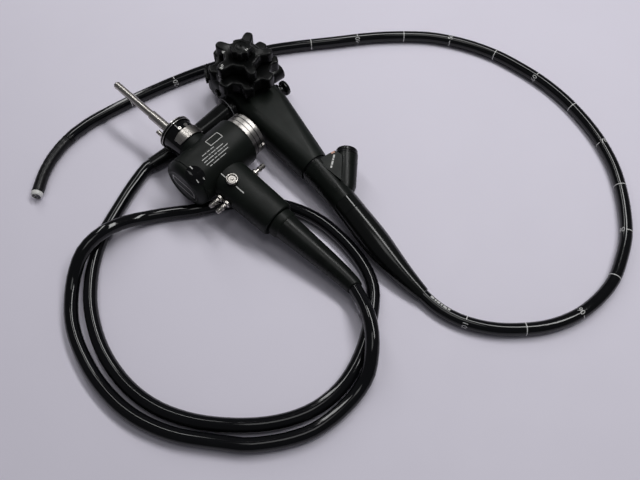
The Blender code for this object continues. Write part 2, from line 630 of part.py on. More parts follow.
def pulley_shaft(name, inner, outer, bottom, top):
    flange = DRUM_FLANGE_THICKNESS
    profile = [
        (inner, 0.0), (DRUM_FLANGE_RADIUS, 0.0), (DRUM_FLANGE_RADIUS, flange),
        (max(DRUM_RADIUS, outer), flange), (max(DRUM_RADIUS, outer), DRUM_WIDTH - flange),
        (DRUM_FLANGE_RADIUS, DRUM_WIDTH - flange), (DRUM_FLANGE_RADIUS, DRUM_WIDTH),
        (outer, DRUM_WIDTH), (outer, top - bottom), (inner, top - bottom),
    ]
    place(name, turned((0, 0, bottom), Z_AXIS, profile, 16, ring=True), BRASS)


def shaft_bush():
    inner = UD_SHAFT_OUTER + GAP
    flange = BUSH_FLANGE_THICKNESS
    bottom = ROOF - GAP - flange
    profile = [(inner, 0.0), (BUSH_FLANGE_RADIUS, 0.0), (BUSH_FLANGE_RADIUS, flange),
               (BUSH_RADIUS, flange), (BUSH_RADIUS, LEVER_TOP + GAP - bottom),
               (inner, LEVER_TOP + GAP - bottom)]
    place("shaft_bush", turned((0, 0, bottom), Z_AXIS, profile, 24, ring=True), BRASS)


def ud_lock_lever():
    """Ring round the bush, an arm under the up-down knob and a finger tab outside it."""
    sides = 32
    inner = BUSH_RADIUS + GAP
    ring_shape = turned((0, 0, LEVER_BOTTOM), Z_AXIS,
                        [(inner, 0.0), (LEVER_RING_RADIUS, 0.0),
                         (LEVER_RING_RADIUS, LEVER_THICKNESS), (inner, LEVER_THICKNESS)], sides, ring=True)
    lever = place("ud_lock_lever", ring_shape, BLACK)
    turn = Matrix.Rotation(math.radians(LEVER_ANGLE), 4, "Z")
    half = 6.0 * MM
    arm = plate(LEVER_RING_RADIUS - 3 * MM, LEVER_REACH - 0.5 * MM, -half, half, LEVER_BOTTOM,
                LEVER_TOP, 2.0 * MM)
    arm.transform(turn)
    combine(lever, helper("lever_arm", arm), "UNION")
    steps = 8
    loops = []
    for i in range(steps + 1):
        angle = math.radians(LEVER_ANGLE + LEVER_TAB_SPAN * (i / steps - 0.5))
        out = Vector((math.cos(angle), math.sin(angle), 0.0))
        drop = 2.2 * MM * abs(2 * i / steps - 1) ** 2
        top = LEVER_BOTTOM + LEVER_TAB_HEIGHT - drop
        near = LEVER_REACH - LEVER_TAB_THICKNESS
        loops.append([out * near + Z_AXIS * LEVER_BOTTOM, out * LEVER_REACH + Z_AXIS * LEVER_BOTTOM,
                      out * LEVER_REACH + Z_AXIS * top, out * near + Z_AXIS * top])
    combine(lever, helper("lever_tab", loft(loops)), "UNION")


def rl_knob():
    """The right-left knob has a hub below it that spaces it off the up-down knob."""
    bore = RL_SHAFT_OUTER + GAP
    turned_knob = knob("rl_knob", RL_KNOB_RADIUS, RL_KNOB_SCALLOP, RL_KNOB_PETALS, RL_KNOB_PHASE,
                       RL_PETAL_NARROWNESS, RL_KNOB_BOTTOM, RL_KNOB_TOP, bore, 0.9 * MM)
    hub = turned((0, 0, RL_KNOB_BOTTOM - RL_HUB_HEIGHT), Z_AXIS,
                 [(bore, 0.0), (RL_HUB_RADIUS, 0.0), (RL_HUB_RADIUS, RL_HUB_HEIGHT + MM),
                  (bore, RL_HUB_HEIGHT + MM)], 24, ring=True)
    combine(turned_knob, helper("rl_hub", hub), "UNION")


def rl_lock_knob():
    """A small lobed knob with a blind bore over the spindle."""
    per_lobe = 4
    lobes = 8
    count = per_lobe * lobes
    r = LOCK_KNOB_RADIUS
    loops = [lobed(r - 2.2 * MM, 0.6 * MM, lobes, 0.0, LOCK_KNOB_TOP, per_lobe),
             lobed(r - 0.9 * MM, 1.1 * MM, lobes, 0.0, LOCK_KNOB_TOP - 1.2 * MM, per_lobe),
             lobed(r, 1.4 * MM, lobes, 0.0, LOCK_KNOB_TOP - 3.4 * MM, per_lobe),
             lobed(r - 0.6 * MM, 1.4 * MM, lobes, 0.0, LOCK_KNOB_BOTTOM + 1.2 * MM, per_lobe),
             lobed(r - 1.8 * MM, 0.6 * MM, lobes, 0.0, LOCK_KNOB_BOTTOM, per_lobe)]
    bore = SPINDLE_RADIUS + GAP
    for z in (LOCK_KNOB_BOTTOM, LOCK_KNOB_TOP - LOCK_KNOB_ROOF):
        loops.append([Vector((bore * math.cos(2 * math.pi * i / count),
                              bore * math.sin(2 * math.pi * i / count), z)) for i in range(count)])
    place("rl_lock_knob", loft(loops), BLACK)


def valve(name, x, cap_radius, cap_height):
    """A metal cylinder let into the side of the head and the button that slides in it."""
    seat = Vector((x, VALVE_SEAT_Y, VALVE_HEIGHT))
    inner_end = -VALVE_BODY_LENGTH
    edge = 0.6 * MM
    profile = [(VALVE_BODY_RADIUS, inner_end), (VALVE_BODY_RADIUS, 0.0), (VALVE_SEAT_RADIUS, 0.0),
               (VALVE_SEAT_RADIUS, VALVE_SEAT_HEIGHT - edge),
               (VALVE_SEAT_RADIUS - edge, VALVE_SEAT_HEIGHT), (VALVE_BORE_RADIUS, VALVE_SEAT_HEIGHT),
               (VALVE_BORE_RADIUS, inner_end + VALVE_FLOOR)]
    place(f"{name}_cylinder", turned(seat, Y_AXIS, profile, 18), STEEL)
    cap_start = VALVE_SEAT_HEIGHT + VALVE_TRAVEL + GAP
    stem = VALVE_BORE_RADIUS - GAP
    stem_start = inner_end + VALVE_FLOOR + VALVE_TRAVEL + GAP
    top = cap_start + cap_height
    profile = [(stem, stem_start), (stem, cap_start), (cap_radius - edge, cap_start),
               (cap_radius, cap_start + edge), (cap_radius, top - 2 * edge),
               (cap_radius - 0.7 * edge, top - 0.7 * edge), (cap_radius - 2 * edge, top),
               (cap_radius - 4 * edge, top - 0.6 * edge)]
    place(f"{name}_button", turned(seat, Y_AXIS, profile, 18), BLACK, origin=seat)


def cord_boot_path():
    start = Vector((COLLAR_X, COLLAR_END - GAP, COLLAR_HEIGHT))
    return even_points([start, *(Vector(p) * MM for p in CORD_BOOT_PATH), CORD_BOOT_TIP], 11 * MM)


def cord_exit():
    face = Vector((COLLAR_X, COLLAR_FACE, COLLAR_HEIGHT))
    edge = 1.0 * MM
    profile = [(COLLAR_SPIGOT_RADIUS, -COLLAR_SPIGOT_LENGTH), (COLLAR_SPIGOT_RADIUS, 0.0),
               (COLLAR_RADIUS - edge, 0.0), (COLLAR_RADIUS, edge),
               (COLLAR_RADIUS, COLLAR_LENGTH - 1.5 * edge), (COLLAR_RADIUS - edge, COLLAR_LENGTH)]
    place("cord_collar", turned(face, -Y_AXIS, profile, 24), STEEL)

    def radius_at(share):
        step = 1.0 if share < 0.97 else 0.93
        return step * (CORD_BOOT_ROOT_RADIUS
                       + (CORD_BOOT_END_RADIUS - CORD_BOOT_ROOT_RADIUS) * min(1.0, share / 0.9))
    place("cord_boot", sweep(cord_boot_path(), radius_at, 18, first_direction=-Y_AXIS), RUBBER)


def branch_path():
    start = Vector((BRANCH_START, GRIP_AXIS_Y, GRIP_AXIS_Z))
    straight = start + X_AXIS * 2.0 * MM
    return even_points([start, straight, straight.lerp(BRANCH_END, 0.5) - BRANCH_DROP * 0.12,
                        BRANCH_END], 9 * MM)


def insertion_boot_path():
    before, end = branch_path()[-2:]
    direction = (end - before).normalized()
    start = end + direction * (NUT_LENGTH + 2 * GAP)
    return even_points([start, *(Vector(p) * MM for p in INSERTION_BOOT_PATH),
                        INSERTION_BOOT_TIP], 10 * MM)


def grip_end():
    """Everything below the grip: step ring, channel branch with its port, nut and boot."""
    centre = Vector((0.0, GRIP_AXIS_Y, GRIP_AXIS_Z))
    ring_shape = turned(centre + X_AXIS * END_RING_START, X_AXIS,
                        [(END_RING_RADIUS, 0.0), (END_RING_RADIUS, END_RING_LENGTH)], 28)
    place("grip_end_ring", ring_shape, BLACK)

    path = branch_path()
    branch = place("channel_branch", sweep(
        path, lambda share: BRANCH_ROOT_RADIUS + (BRANCH_END_RADIUS - BRANCH_ROOT_RADIUS) * share,
        24, first_direction=X_AXIS), DARK)
    arm_length = (PORT_TIP - PORT_ROOT).length
    arm = turned(PORT_ROOT, PORT_AXIS, [(PORT_RADIUS * 0.86, 0.0), (PORT_RADIUS, 0.16 * arm_length),
                                        (PORT_RADIUS, arm_length)], 24)
    combine(branch, helper("port_arm", arm), "UNION")
    foot = path[1] + X_AXIS * MM
    corners = (foot, foot + Y_AXIS * BRANCH_ROOT_RADIUS * 1.1,
               PORT_TIP.lerp(PORT_ROOT, 0.4) - X_AXIS * (PORT_RADIUS + 2 * MM),
               PORT_TIP.lerp(PORT_ROOT, 0.28), PORT_ROOT)
    web = loft([[Vector((p.x, p.y, PORT_ROOT.z + side * WEB_THICKNESS / 2)) for p in corners]
                for side in (-1.0, 1.0)])
    combine(branch, helper("port_web", web), "UNION")

    port = PORT_TIP + PORT_AXIS * GAP
    edge = 0.5 * MM
    profile = [(PORT_RADIUS, 0.0), (PORT_RADIUS, PORT_RING_LENGTH - edge),
               (PORT_RADIUS - edge, PORT_RING_LENGTH), (PORT_BORE_RADIUS, PORT_RING_LENGTH),
               (PORT_BORE_RADIUS, 0.0)]
    place("channel_port", turned(port, PORT_AXIS, profile, 24, ring=True), STEEL)
    seat = port + PORT_AXIS * (PORT_RING_LENGTH + GAP)
    profile = [(BIOPSY_VALVE_RADIUS, 0.0), (BIOPSY_VALVE_RADIUS, BIOPSY_VALVE_HEIGHT - edge),
               (BIOPSY_VALVE_RADIUS - edge, BIOPSY_VALVE_HEIGHT),
               (BIOPSY_DISH_RADIUS, BIOPSY_VALVE_HEIGHT),
               (BIOPSY_DISH_RADIUS - edge, BIOPSY_VALVE_HEIGHT - BIOPSY_DISH_DEPTH)]
    place("biopsy_valve", turned(seat, PORT_AXIS, profile, 24), RUBBER)

    direction = (path[-1] - path[-2]).normalized()
    nut_start = BRANCH_END + direction * GAP
    profile = [(NUT_RADIUS, 0.0), (NUT_RADIUS, NUT_LENGTH)]
    place("boot_nut", turned(nut_start, direction, profile, 28), DARK)

    def radius_at(share):
        if share < 0.35:
            return NUT_RADIUS + (INSERTION_BOOT_RADIUS - NUT_RADIUS) * math.sin(share / 0.7 * math.pi)
        fall = (share - 0.35) / 0.65
        return INSERTION_BOOT_END_RADIUS + (INSERTION_BOOT_RADIUS - INSERTION_BOOT_END_RADIUS) * (
            1 - fall ** 1.25)
    place("insertion_boot", sweep(insertion_boot_path(), radius_at, 22, first_direction=direction),
          RUBBER)


def tube(name, points, diameter, resolution, finish):
    """A long tube as a curve with a round bevel and filled caps."""
    curve = bpy.data.curves.new(name, "CURVE")
    curve.dimensions = "3D"
    curve.bevel_depth = diameter / 2
    curve.bevel_resolution = resolution
    curve.use_fill_caps = True
    spline = curve.splines.new("POLY")
    spline.points.add(len(points) - 1)
    for made, point in zip(spline.points, points):
        made.co = (*point, 1.0)
    curve.materials.append(finish_material(name, finish))
    bpy.context.scene.collection.objects.link(bpy.data.objects.new(name, curve))


def heading_vector(degrees):
    return Vector((math.cos(math.radians(degrees)), math.sin(math.radians(degrees)), 0.0))


def hinge_frames():
    """Pivot and heading of every joint of the bending section at rest."""
    frames = []
    heading = BENDING_HEADING
    pivot = BENDING_START + heading_vector(heading) * base_length()
    for kind in JOINT_KINDS:
        if kind == "ud":
            heading += REST_BEND
        frames.append((kind, pivot.copy(), heading))
        pivot = pivot + heading_vector(heading) * RING_PITCH
    return frames


def base_length():
    return BASE_COLLAR_LENGTH + RING_BAND + band_offset()


def band_offset():
    """From a pivot to the near edge of the ring's band."""
    return (RING_PITCH - RING_BAND) / 2


def ears(kind, outer, at, towards):
    """The pair of ear plates of one joint. towards is the side of the pivot where the band is."""
    high = EAR_OUTER_TOP if outer else EAR_INNER_TOP
    low = high - EAR_THICKNESS
    across = Z_AXIS if kind == "ud" else Y_AXIS
    along = Y_AXIS if kind == "ud" else Z_AXIS
    outline = []
    for i in range(EAR_POINTS):
        angle = math.radians(90 + 180 * i / (EAR_POINTS - 1))
        outline.append((EAR_RADIUS * math.cos(angle), EAR_RADIUS * math.sin(angle)))
    reach = band_offset() + RING_BAND * 0.5
    outline += [(reach, -EAR_RADIUS), (reach, EAR_RADIUS)]
    parts = []
    for sign in (1.0, -1.0):
        loops = [[X_AXIS * (at + towards * x) + along * y + across * sign * level for x, y in outline]
                 for level in (low, high)]
        parts.append(loft(loops))
    return merge(*parts)


def pins(kind, at, radius, low, high):
    across = Z_AXIS if kind == "ud" else Y_AXIS
    parts = [turned(X_AXIS * at, across * sign, [(radius, low), (radius, high)], 8)
             for sign in (1.0, -1.0)]
    return merge(*parts)


def ring_piece(name, origin, heading, rear, front, band_start, band_end, collar=None, finish=STEEL):
    """One ring of the bending section in its own frame: X forward, the rear pivot at zero."""
    frame = bpy.data.objects.new(f"{name}_frame", None)
    frame.location = origin
    frame.rotation_euler = (0.0, 0.0, math.radians(heading))
    bpy.context.scene.collection.objects.link(frame)
    inner = RING_RADIUS - RING_WALL
    profile = [(inner, band_start), (RING_RADIUS, band_start), (RING_RADIUS, band_end),
               (inner, band_end)]
    if collar:
        profile = [(inner, collar), (BASE_COLLAR_RADIUS, collar), (BASE_COLLAR_RADIUS, band_start),
                   (RING_RADIUS, band_start), (RING_RADIUS, band_end), (inner, band_end)]
    made = place(name, turned((0, 0, 0), X_AXIS, profile, 14, ring=True), finish, parent=frame)
    if rear:
        combine(made, helper(f"{name}_rear_ears", ears(rear, True, 0.0, 1.0), frame), "UNION")
        hole = pins(rear, 0.0, PIN_RADIUS + PIN_CLEARANCE, EAR_OUTER_TOP - EAR_THICKNESS - 0.1 * MM,
                    EAR_OUTER_TOP + 0.1 * MM)
        combine(made, helper(f"{name}_pin_holes", hole, frame), "DIFFERENCE")
    if front:
        kind, at = front
        combine(made, helper(f"{name}_front_ears", ears(kind, False, at, -1.0), frame), "UNION")
        pin = pins(kind, at, PIN_RADIUS, EAR_INNER_TOP - EAR_THICKNESS / 2, EAR_OUTER_TOP)
        combine(made, helper(f"{name}_pins", pin, frame), "UNION")
    return frame


def bending_section():
    frames = hinge_frames()
    kind, pivot, heading = frames[0]
    offset = band_offset()
    ring_piece("bending_base", pivot, BENDING_HEADING, None, (kind, 0.0), -offset - RING_BAND, -offset,
               collar=-base_length(), finish=BLACK)
    for number, (kind, pivot, heading) in enumerate(frames, start=1):
        front = (frames[number][0], RING_PITCH) if number < len(frames) else None
        last = ring_piece(f"ring_{number}", pivot, heading, kind, front, offset, offset + RING_BAND)

    tip_back = offset + RING_BAND + 2 * GAP
    spigot = RING_RADIUS - RING_WALL - GAP
    edge = 0.9 * MM
    end = tip_back + TIP_LENGTH
    profile = [(spigot, tip_back - TIP_SPIGOT_LENGTH), (spigot, tip_back), (TIP_RADIUS, tip_back),
               (TIP_RADIUS, end - 2 * edge), (TIP_RADIUS - 0.3 * edge, end - 0.8 * edge),
               (TIP_RADIUS - edge, end)]
    tip = place("distal_tip", turned((0, 0, 0), X_AXIS, profile, 24), WHITE, parent=last)
    lens_place = Y_AXIS * LENS_OFFSET
    seat = turned(X_AXIS * (end - LENS_THICKNESS - GAP) + lens_place, X_AXIS,
                  [(LENS_RADIUS + GAP / 2, 0.0), (LENS_RADIUS + GAP / 2, 2 * LENS_THICKNESS)], 16)
    combine(tip, helper("lens_seat", seat, last), "DIFFERENCE")
    channel = turned(X_AXIS * (end - 5 * MM) - Y_AXIS * TIP_CHANNEL_OFFSET, X_AXIS,
                     [(TIP_CHANNEL_RADIUS, 0.0), (TIP_CHANNEL_RADIUS, 6 * MM)], 12)
    combine(tip, helper("tip_channel", channel, last), "DIFFERENCE")
    lens = turned(X_AXIS * (end - LENS_THICKNESS) + lens_place, X_AXIS,
                  [(LENS_RADIUS, 0.0), (LENS_RADIUS, LENS_THICKNESS)], 16)
    place("objective_lens", lens, GLASS, parent=last)

    path = [frames[0][1] - heading_vector(BENDING_HEADING) * (offset + RING_BAND - GAP)]
    path += [pivot for _, pivot, _ in frames]
    path.append(frames[-1][1] + heading_vector(frames[-1][2]) * (tip_back - GAP))
    loops = []
    for radius, points in ((RUBBER_RADIUS, path), (RUBBER_RADIUS - RUBBER_WALL, path[::-1])):
        sign = 1.0 if points is path else -1.0
        for i, point in enumerate(points):
            direction = (points[min(len(points) - 1, i + 1)] - points[max(0, i - 1)]).normalized()
            loops.append(circle(point, direction * sign, radius, 16))
    place("bending_cover", loft(loops, ring=True), RUBBER)


def connector_frame():
    frame = bpy.data.objects.new("connector_frame", None)
    frame.location = CONNECTOR_PLACE
    frame.rotation_euler = (0.0, -math.radians(CONNECTOR_PITCH), math.radians(CONNECTOR_YAW))
    bpy.context.scene.collection.objects.link(frame)
    return frame


def connector_matrix():
    turn = Matrix.Rotation(math.radians(CONNECTOR_YAW), 4, "Z")
    tilt = Matrix.Rotation(-math.radians(CONNECTOR_PITCH), 4, "Y")
    return Matrix.Translation(CONNECTOR_PLACE) @ turn @ tilt


def connector_barrel(frame):
    edge = 1.2 * MM
    front = BARREL_FRONT
    profile = [(BARREL_RADIUS, -BARREL_BACK), (BARREL_RADIUS, front - 3 * edge),
               (BARREL_RADIUS - 0.5 * edge, front - edge), (BARREL_RADIUS - 1.6 * edge, front)]
    housing = place("connector_housing", turned((0, 0, 0), Y_AXIS, profile, 32), DARK, parent=frame)
    neck = turned((0, 0, 0), -X_AXIS, [(NECK_RADIUS, 0.5 * BARREL_RADIUS), (NECK_RADIUS, NECK_LENGTH)], 32)
    combine(housing, helper("neck_shape", neck, frame), "UNION")

    start = -BARREL_BACK - GAP
    face = start - END_CAP_LENGTH
    profile = [(BARREL_RADIUS, start), (BARREL_RADIUS, start - 0.25 * END_CAP_LENGTH),
               (BARREL_RADIUS - 0.9 * MM, start - 0.55 * END_CAP_LENGTH),
               (0.5 * (BARREL_RADIUS + END_CAP_FACE_RADIUS), start - 0.86 * END_CAP_LENGTH),
               (END_CAP_FACE_RADIUS, face), (END_CAP_FACE_RADIUS - 1.2 * MM, face),
               (END_CAP_FACE_RADIUS - 2.0 * MM, face + END_CAP_DISH)]
    place("connector_end_cap", turned((0, 0, 0), Y_AXIS, profile, 32), DARK, parent=frame)

    ring_start = front + GAP
    edge = 0.6 * MM
    inner = SOCKET_RADIUS - SOCKET_WALL
    profile = [(SOCKET_RADIUS, 0.0), (SOCKET_RADIUS, SOCKET_LENGTH - edge),
               (SOCKET_RADIUS - edge, SOCKET_LENGTH), (inner, SOCKET_LENGTH), (inner, 0.0)]
    socket = place("socket_ring", turned(Y_AXIS * ring_start, Y_AXIS, profile, 28, ring=True), STEEL,
                   parent=frame)
    for number, degrees in enumerate((80.0, 200.0, 320.0), start=1):
        slot = plate(-SOCKET_SLOT_WIDTH / 2, SOCKET_SLOT_WIDTH / 2, ring_start + 0.35 * SOCKET_LENGTH,
                     ring_start + SOCKET_LENGTH + MM, inner - 2 * MM, SOCKET_RADIUS + 2 * MM,
                     0.45 * SOCKET_SLOT_WIDTH)
        slot.transform(Matrix.Rotation(math.radians(degrees), 4, "Y"))
        combine(socket, helper(f"socket_slot_{number}", slot, frame), "DIFFERENCE")

    insert = place("socket_insert", turned(Y_AXIS * ring_start, Y_AXIS,
                                           [(inner - GAP, 0.0), (inner - GAP, SOCKET_INSERT_LENGTH)], 24),
                   BLACK, parent=frame)
    contacts = []
    for i in range(CONTACT_COUNT):
        angle = 2 * math.pi * i / CONTACT_COUNT
        base = Vector((CONTACT_CIRCLE * math.cos(angle), ring_start + 0.5 * SOCKET_INSERT_LENGTH,
                       CONTACT_CIRCLE * math.sin(angle)))
        contacts.append(turned(base, Y_AXIS, [(CONTACT_RADIUS, 0.0),
                                              (CONTACT_RADIUS, 0.5 * SOCKET_INSERT_LENGTH + CONTACT_HEIGHT)], 6))
    combine(insert, helper("contact_shapes", merge(*contacts), frame), "UNION")


def light_guide(frame):
    """The plug side: flange, silver index plate, light guide rod with its window, and air pipe."""
    face = -NECK_LENGTH - GAP
    edge = 0.8 * MM
    profile = [(FLANGE_RADIUS - edge, 0.0), (FLANGE_RADIUS, edge),
               (FLANGE_RADIUS, FLANGE_THICKNESS - edge), (FLANGE_RADIUS - edge, FLANGE_THICKNESS)]
    place("plug_flange", turned(X_AXIS * face, -X_AXIS, profile, 28), STEEL, parent=frame)

    inner = NECK_RADIUS + GAP
    outer = inner + INDEX_PLATE_THICKNESS
    steps = 14
    loops = []
    for i in range(steps + 1):
        share = 2 * i / steps - 1
        angle = math.radians(INDEX_PLATE_ANGLE + 0.5 * INDEX_PLATE_SPAN * share)
        out = Vector((0.0, math.cos(angle), math.sin(angle)))
        half = 0.5 * INDEX_PLATE_WIDTH * (1 - 0.3 * abs(share) ** 3)
        middle = X_AXIS * (INDEX_PLATE_PLACE + 0.5 * INDEX_PLATE_WIDTH)
        loops.append([middle - X_AXIS * half + out * inner, middle + X_AXIS * half + out * inner,
                      middle + X_AXIS * half + out * outer, middle - X_AXIS * half + out * outer])
    place("index_plate", loft(loops), STEEL, parent=frame)

    root = face - FLANGE_THICKNESS - GAP
    axis_point = Vector((root, GUIDE_ROD_OFFSET, 0.0))
    edge = 0.5 * MM
    profile = [(GUIDE_SLEEVE_RADIUS, 0.0), (GUIDE_SLEEVE_RADIUS, GUIDE_SLEEVE_LENGTH - edge),
               (GUIDE_ROD_RADIUS, GUIDE_SLEEVE_LENGTH), (GUIDE_ROD_RADIUS, GUIDE_ROD_LENGTH)]
    place("light_guide_rod", turned(axis_point, -X_AXIS, profile, 20), STEEL, parent=frame)
    window = axis_point - X_AXIS * (GUIDE_ROD_LENGTH + GAP)
    place("light_guide_window", turned(window, -X_AXIS, [(GUIDE_ROD_RADIUS - edge, 0.0),
                                                         (GUIDE_ROD_RADIUS - 2 * edge, GUIDE_WINDOW_LENGTH)], 16),
          GLASS, parent=frame)
    pipe = Vector((root, AIR_PIPE_OFFSET, -2.0 * MM))
    profile = [(AIR_PIPE_RADIUS, 0.0), (AIR_PIPE_RADIUS, AIR_PIPE_LENGTH),
               (0.5 * AIR_PIPE_RADIUS, AIR_PIPE_LENGTH), (0.5 * AIR_PIPE_RADIUS, 0.4 * AIR_PIPE_LENGTH)]
    place("air_pipe", turned(pipe, -X_AXIS, profile, 16), STEEL, parent=frame)


def grip_outline(u, width, height):
    """Oval section of the connector's grip, flatter above and below."""
    points = []
    for i in range(32):
        angle = 2 * math.pi * i / 32
        c, s = math.cos(angle), math.sin(angle)
        points.append(Vector((u, 0.5 * width * math.copysign(abs(c) ** 0.86, c),
                              0.5 * height * math.copysign(abs(s) ** 0.86, s))))
    return points


def cord_arrival():
    """Direction of the cord where it enters the connector's boot."""
    return (CORD_END - Vector(CORD_ROUTE[-1]) * MM).normalized()


def grip_width(u):
    share = (u - BARREL_RADIUS) / (PLUG_GRIP_END - BARREL_RADIUS)
    return PLUG_GRIP_WIDTH + (PLUG_GRIP_END_WIDTH - PLUG_GRIP_WIDTH) * share


def connector_grip(frame):
    """The grip, whose root is hollowed to sit against the barrel."""
    saddle = BARREL_RADIUS + GAP
    root = grip_outline(0.0, PLUG_GRIP_WIDTH, PLUG_GRIP_HEIGHT)
    for point in root:
        point.x = math.sqrt(saddle ** 2 - point.z ** 2)
    loops = [root]
    chamfer = 1.0 * MM
    for u in (saddle + chamfer, 0.5 * (saddle + PLUG_GRIP_END), PLUG_GRIP_END - chamfer):
        loops.append(grip_outline(u, grip_width(u), PLUG_GRIP_HEIGHT))
    loops.append(grip_outline(PLUG_GRIP_END, PLUG_GRIP_END_WIDTH - 2 * chamfer,
                              PLUG_GRIP_HEIGHT - 2 * chamfer))
    bm = loft(loops, open_start=True)
    verts = list(bm.verts)
    half = len(root) // 2
    for i in range(-half // 2, half // 2):
        rim = (verts[i % len(root)], verts[(i + 1) % len(root)],
               verts[(half - i - 1) % len(root)], verts[(half - i) % len(root)])
        bm.faces.new(list(dict.fromkeys(rim)))
    place("connector_grip", bm, DARK, parent=frame)

    start = X_AXIS * (PLUG_GRIP_END + GAP)
    edge = 1.0 * MM
    profile = [(PLUG_NUT_RADIUS - edge, 0.0), (PLUG_NUT_RADIUS, edge),
               (PLUG_NUT_RADIUS, PLUG_NUT_LENGTH - 2 * edge), (PLUG_NUT_RADIUS - edge, PLUG_NUT_LENGTH)]
    place("connector_nut", turned(start, X_AXIS, profile, 28), DARK, parent=frame)

    to_world = connector_matrix()
    boot_start = to_world @ Vector((PLUG_GRIP_END + PLUG_NUT_LENGTH + 2 * GAP, 0.0, 0.0))
    direction = to_world.to_3x3() @ X_AXIS
    boot_end = CORD_END + cord_arrival() * GAP
    reach = (boot_end - boot_start).length
    path = even_points([boot_start, boot_start + direction * 0.3 * reach,
                        boot_end + cord_arrival() * 0.3 * reach, boot_end], 10 * MM)
    path.insert(-1, boot_end + cord_arrival() * 2.0 * MM)
    place("connector_boot", sweep(
        path, lambda share: PLUG_BOOT_RADIUS + (PLUG_BOOT_END_RADIUS - PLUG_BOOT_RADIUS) * share,
        28, flutes=14, first_direction=direction), RUBBER)


def nipple(name, frame, u, side):
    """A hose nipple on the side of the connector's grip."""
    seat = Vector((u, side * (0.5 * grip_width(u) + GAP), 0.0))
    length = NIPPLE_LENGTH
    profile = [(NIPPLE_BARB_RADIUS + 0.8 * MM, 0.0), (NIPPLE_BARB_RADIUS + 0.8 * MM, 0.18 * length),
               (NIPPLE_RADIUS, 0.22 * length), (NIPPLE_RADIUS, 0.45 * length),
               (NIPPLE_BARB_RADIUS, 0.5 * length), (NIPPLE_RADIUS, 0.72 * length),
               (NIPPLE_BARB_RADIUS, 0.76 * length), (NIPPLE_RADIUS, length)]
    place(name, turned(seat, Y_AXIS * side, profile, 14), STEEL, parent=frame)


def connector_fittings(frame):
    nipple("suction_nipple", frame, SUCTION_NIPPLE_U, -1.0)
    nipple("water_nipple", frame, WATER_NIPPLE_U, -1.0)
    nipple("air_nipple", frame, AIR_NIPPLE_U, 1.0)
    seat = Vector((VENT_U, VENT_V, 0.5 * PLUG_GRIP_HEIGHT + GAP))
    edge = 0.5 * MM
    vent = turned(seat, Z_AXIS, [(VENT_RADIUS, 0.0), (VENT_RADIUS, VENT_HEIGHT - edge),
                                 (VENT_RADIUS - edge, VENT_HEIGHT),
                                 (VENT_RADIUS - 3 * edge, VENT_HEIGHT),
                                 (VENT_RADIUS - 4 * edge, 0.6 * VENT_HEIGHT),
                                 (VENT_PIN_RADIUS, 0.6 * VENT_HEIGHT), (VENT_PIN_RADIUS, 0.9 * VENT_HEIGHT)], 20)
    place("leak_test_port", vent, STEEL, parent=frame)


def tube_points(start, leaving, route, end, arriving, spacing):
    """Even points with a short straight at either end, so that the tube's ends are square."""
    first = start + leaving * TUBE_END_STRAIGHT
    last = end - arriving * TUBE_END_STRAIGHT
    middle = even_points([first, *(Vector(p) * MM for p in route), last], spacing)
    return [start, *middle, end]


def long_tubes():
    boot, tip = insertion_boot_path()[-2:]
    leaving = (tip - boot).normalized()
    arriving = heading_vector(BENDING_HEADING)
    tube("insertion_tube", tube_points(tip + leaving * GAP, leaving, INSERTION_ROUTE,
                                       BENDING_START - arriving * GAP, arriving,
                                       TUBE_POINT_SPACING * INSERTION_TUBE_DIAMETER),
         INSERTION_TUBE_DIAMETER, 4, GLOSS)
    boot, tip = cord_boot_path()[-2:]
    leaving = (tip - boot).normalized()
    tube("universal_cord", tube_points(tip + leaving * GAP, leaving, CORD_ROUTE, CORD_END,
                                       cord_arrival(), TUBE_POINT_SPACING * CORD_DIAMETER),
         CORD_DIAMETER, 4, GLOSS)


def main():
    clear_scene()
    control_housing()
    head_cover()
    side_cover()
    chassis_plate()
    spindle()
    pulley_shaft("rl_shaft", RL_SHAFT_INNER, RL_SHAFT_OUTER, RL_SHAFT_BOTTOM, RL_KNOB_TOP - 1.2 * MM)
    pulley_shaft("ud_shaft", UD_SHAFT_INNER, UD_SHAFT_OUTER, UD_SHAFT_BOTTOM, UD_KNOB_TOP - 0.6 * MM)
    shaft_bush()
    ud_lock_lever()
    knob("ud_knob", UD_KNOB_RADIUS, UD_KNOB_SCALLOP, UD_KNOB_PETALS, UD_KNOB_PHASE, UD_PETAL_NARROWNESS,
         UD_KNOB_BOTTOM, UD_KNOB_TOP, UD_SHAFT_OUTER + GAP, 0.0)
    rl_knob()
    rl_lock_knob()
    valve("suction", SUCTION_X, SUCTION_CAP_RADIUS, SUCTION_CAP_HEIGHT)
    valve("air_water", AIR_WATER_X, AIR_WATER_CAP_RADIUS, AIR_WATER_CAP_HEIGHT)
    switches()
    cord_exit()
    grip_end()
    bending_section()
    frame = connector_frame()
    connector_barrel(frame)
    light_guide(frame)
    connector_grip(frame)
    connector_fittings(frame)
    long_tubes()


main()
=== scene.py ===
"""Looks of the flexible gastroscope: materials, tubes, knobs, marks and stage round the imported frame."""

import json
import math

import bmesh
import bpy
from bpy.props import FloatProperty, FloatVectorProperty, IntProperty, PointerProperty
from mathutils import Matrix, Vector
from mathutils.bvhtree import BVHTree
from mathutils.geometry import interpolate_bezier


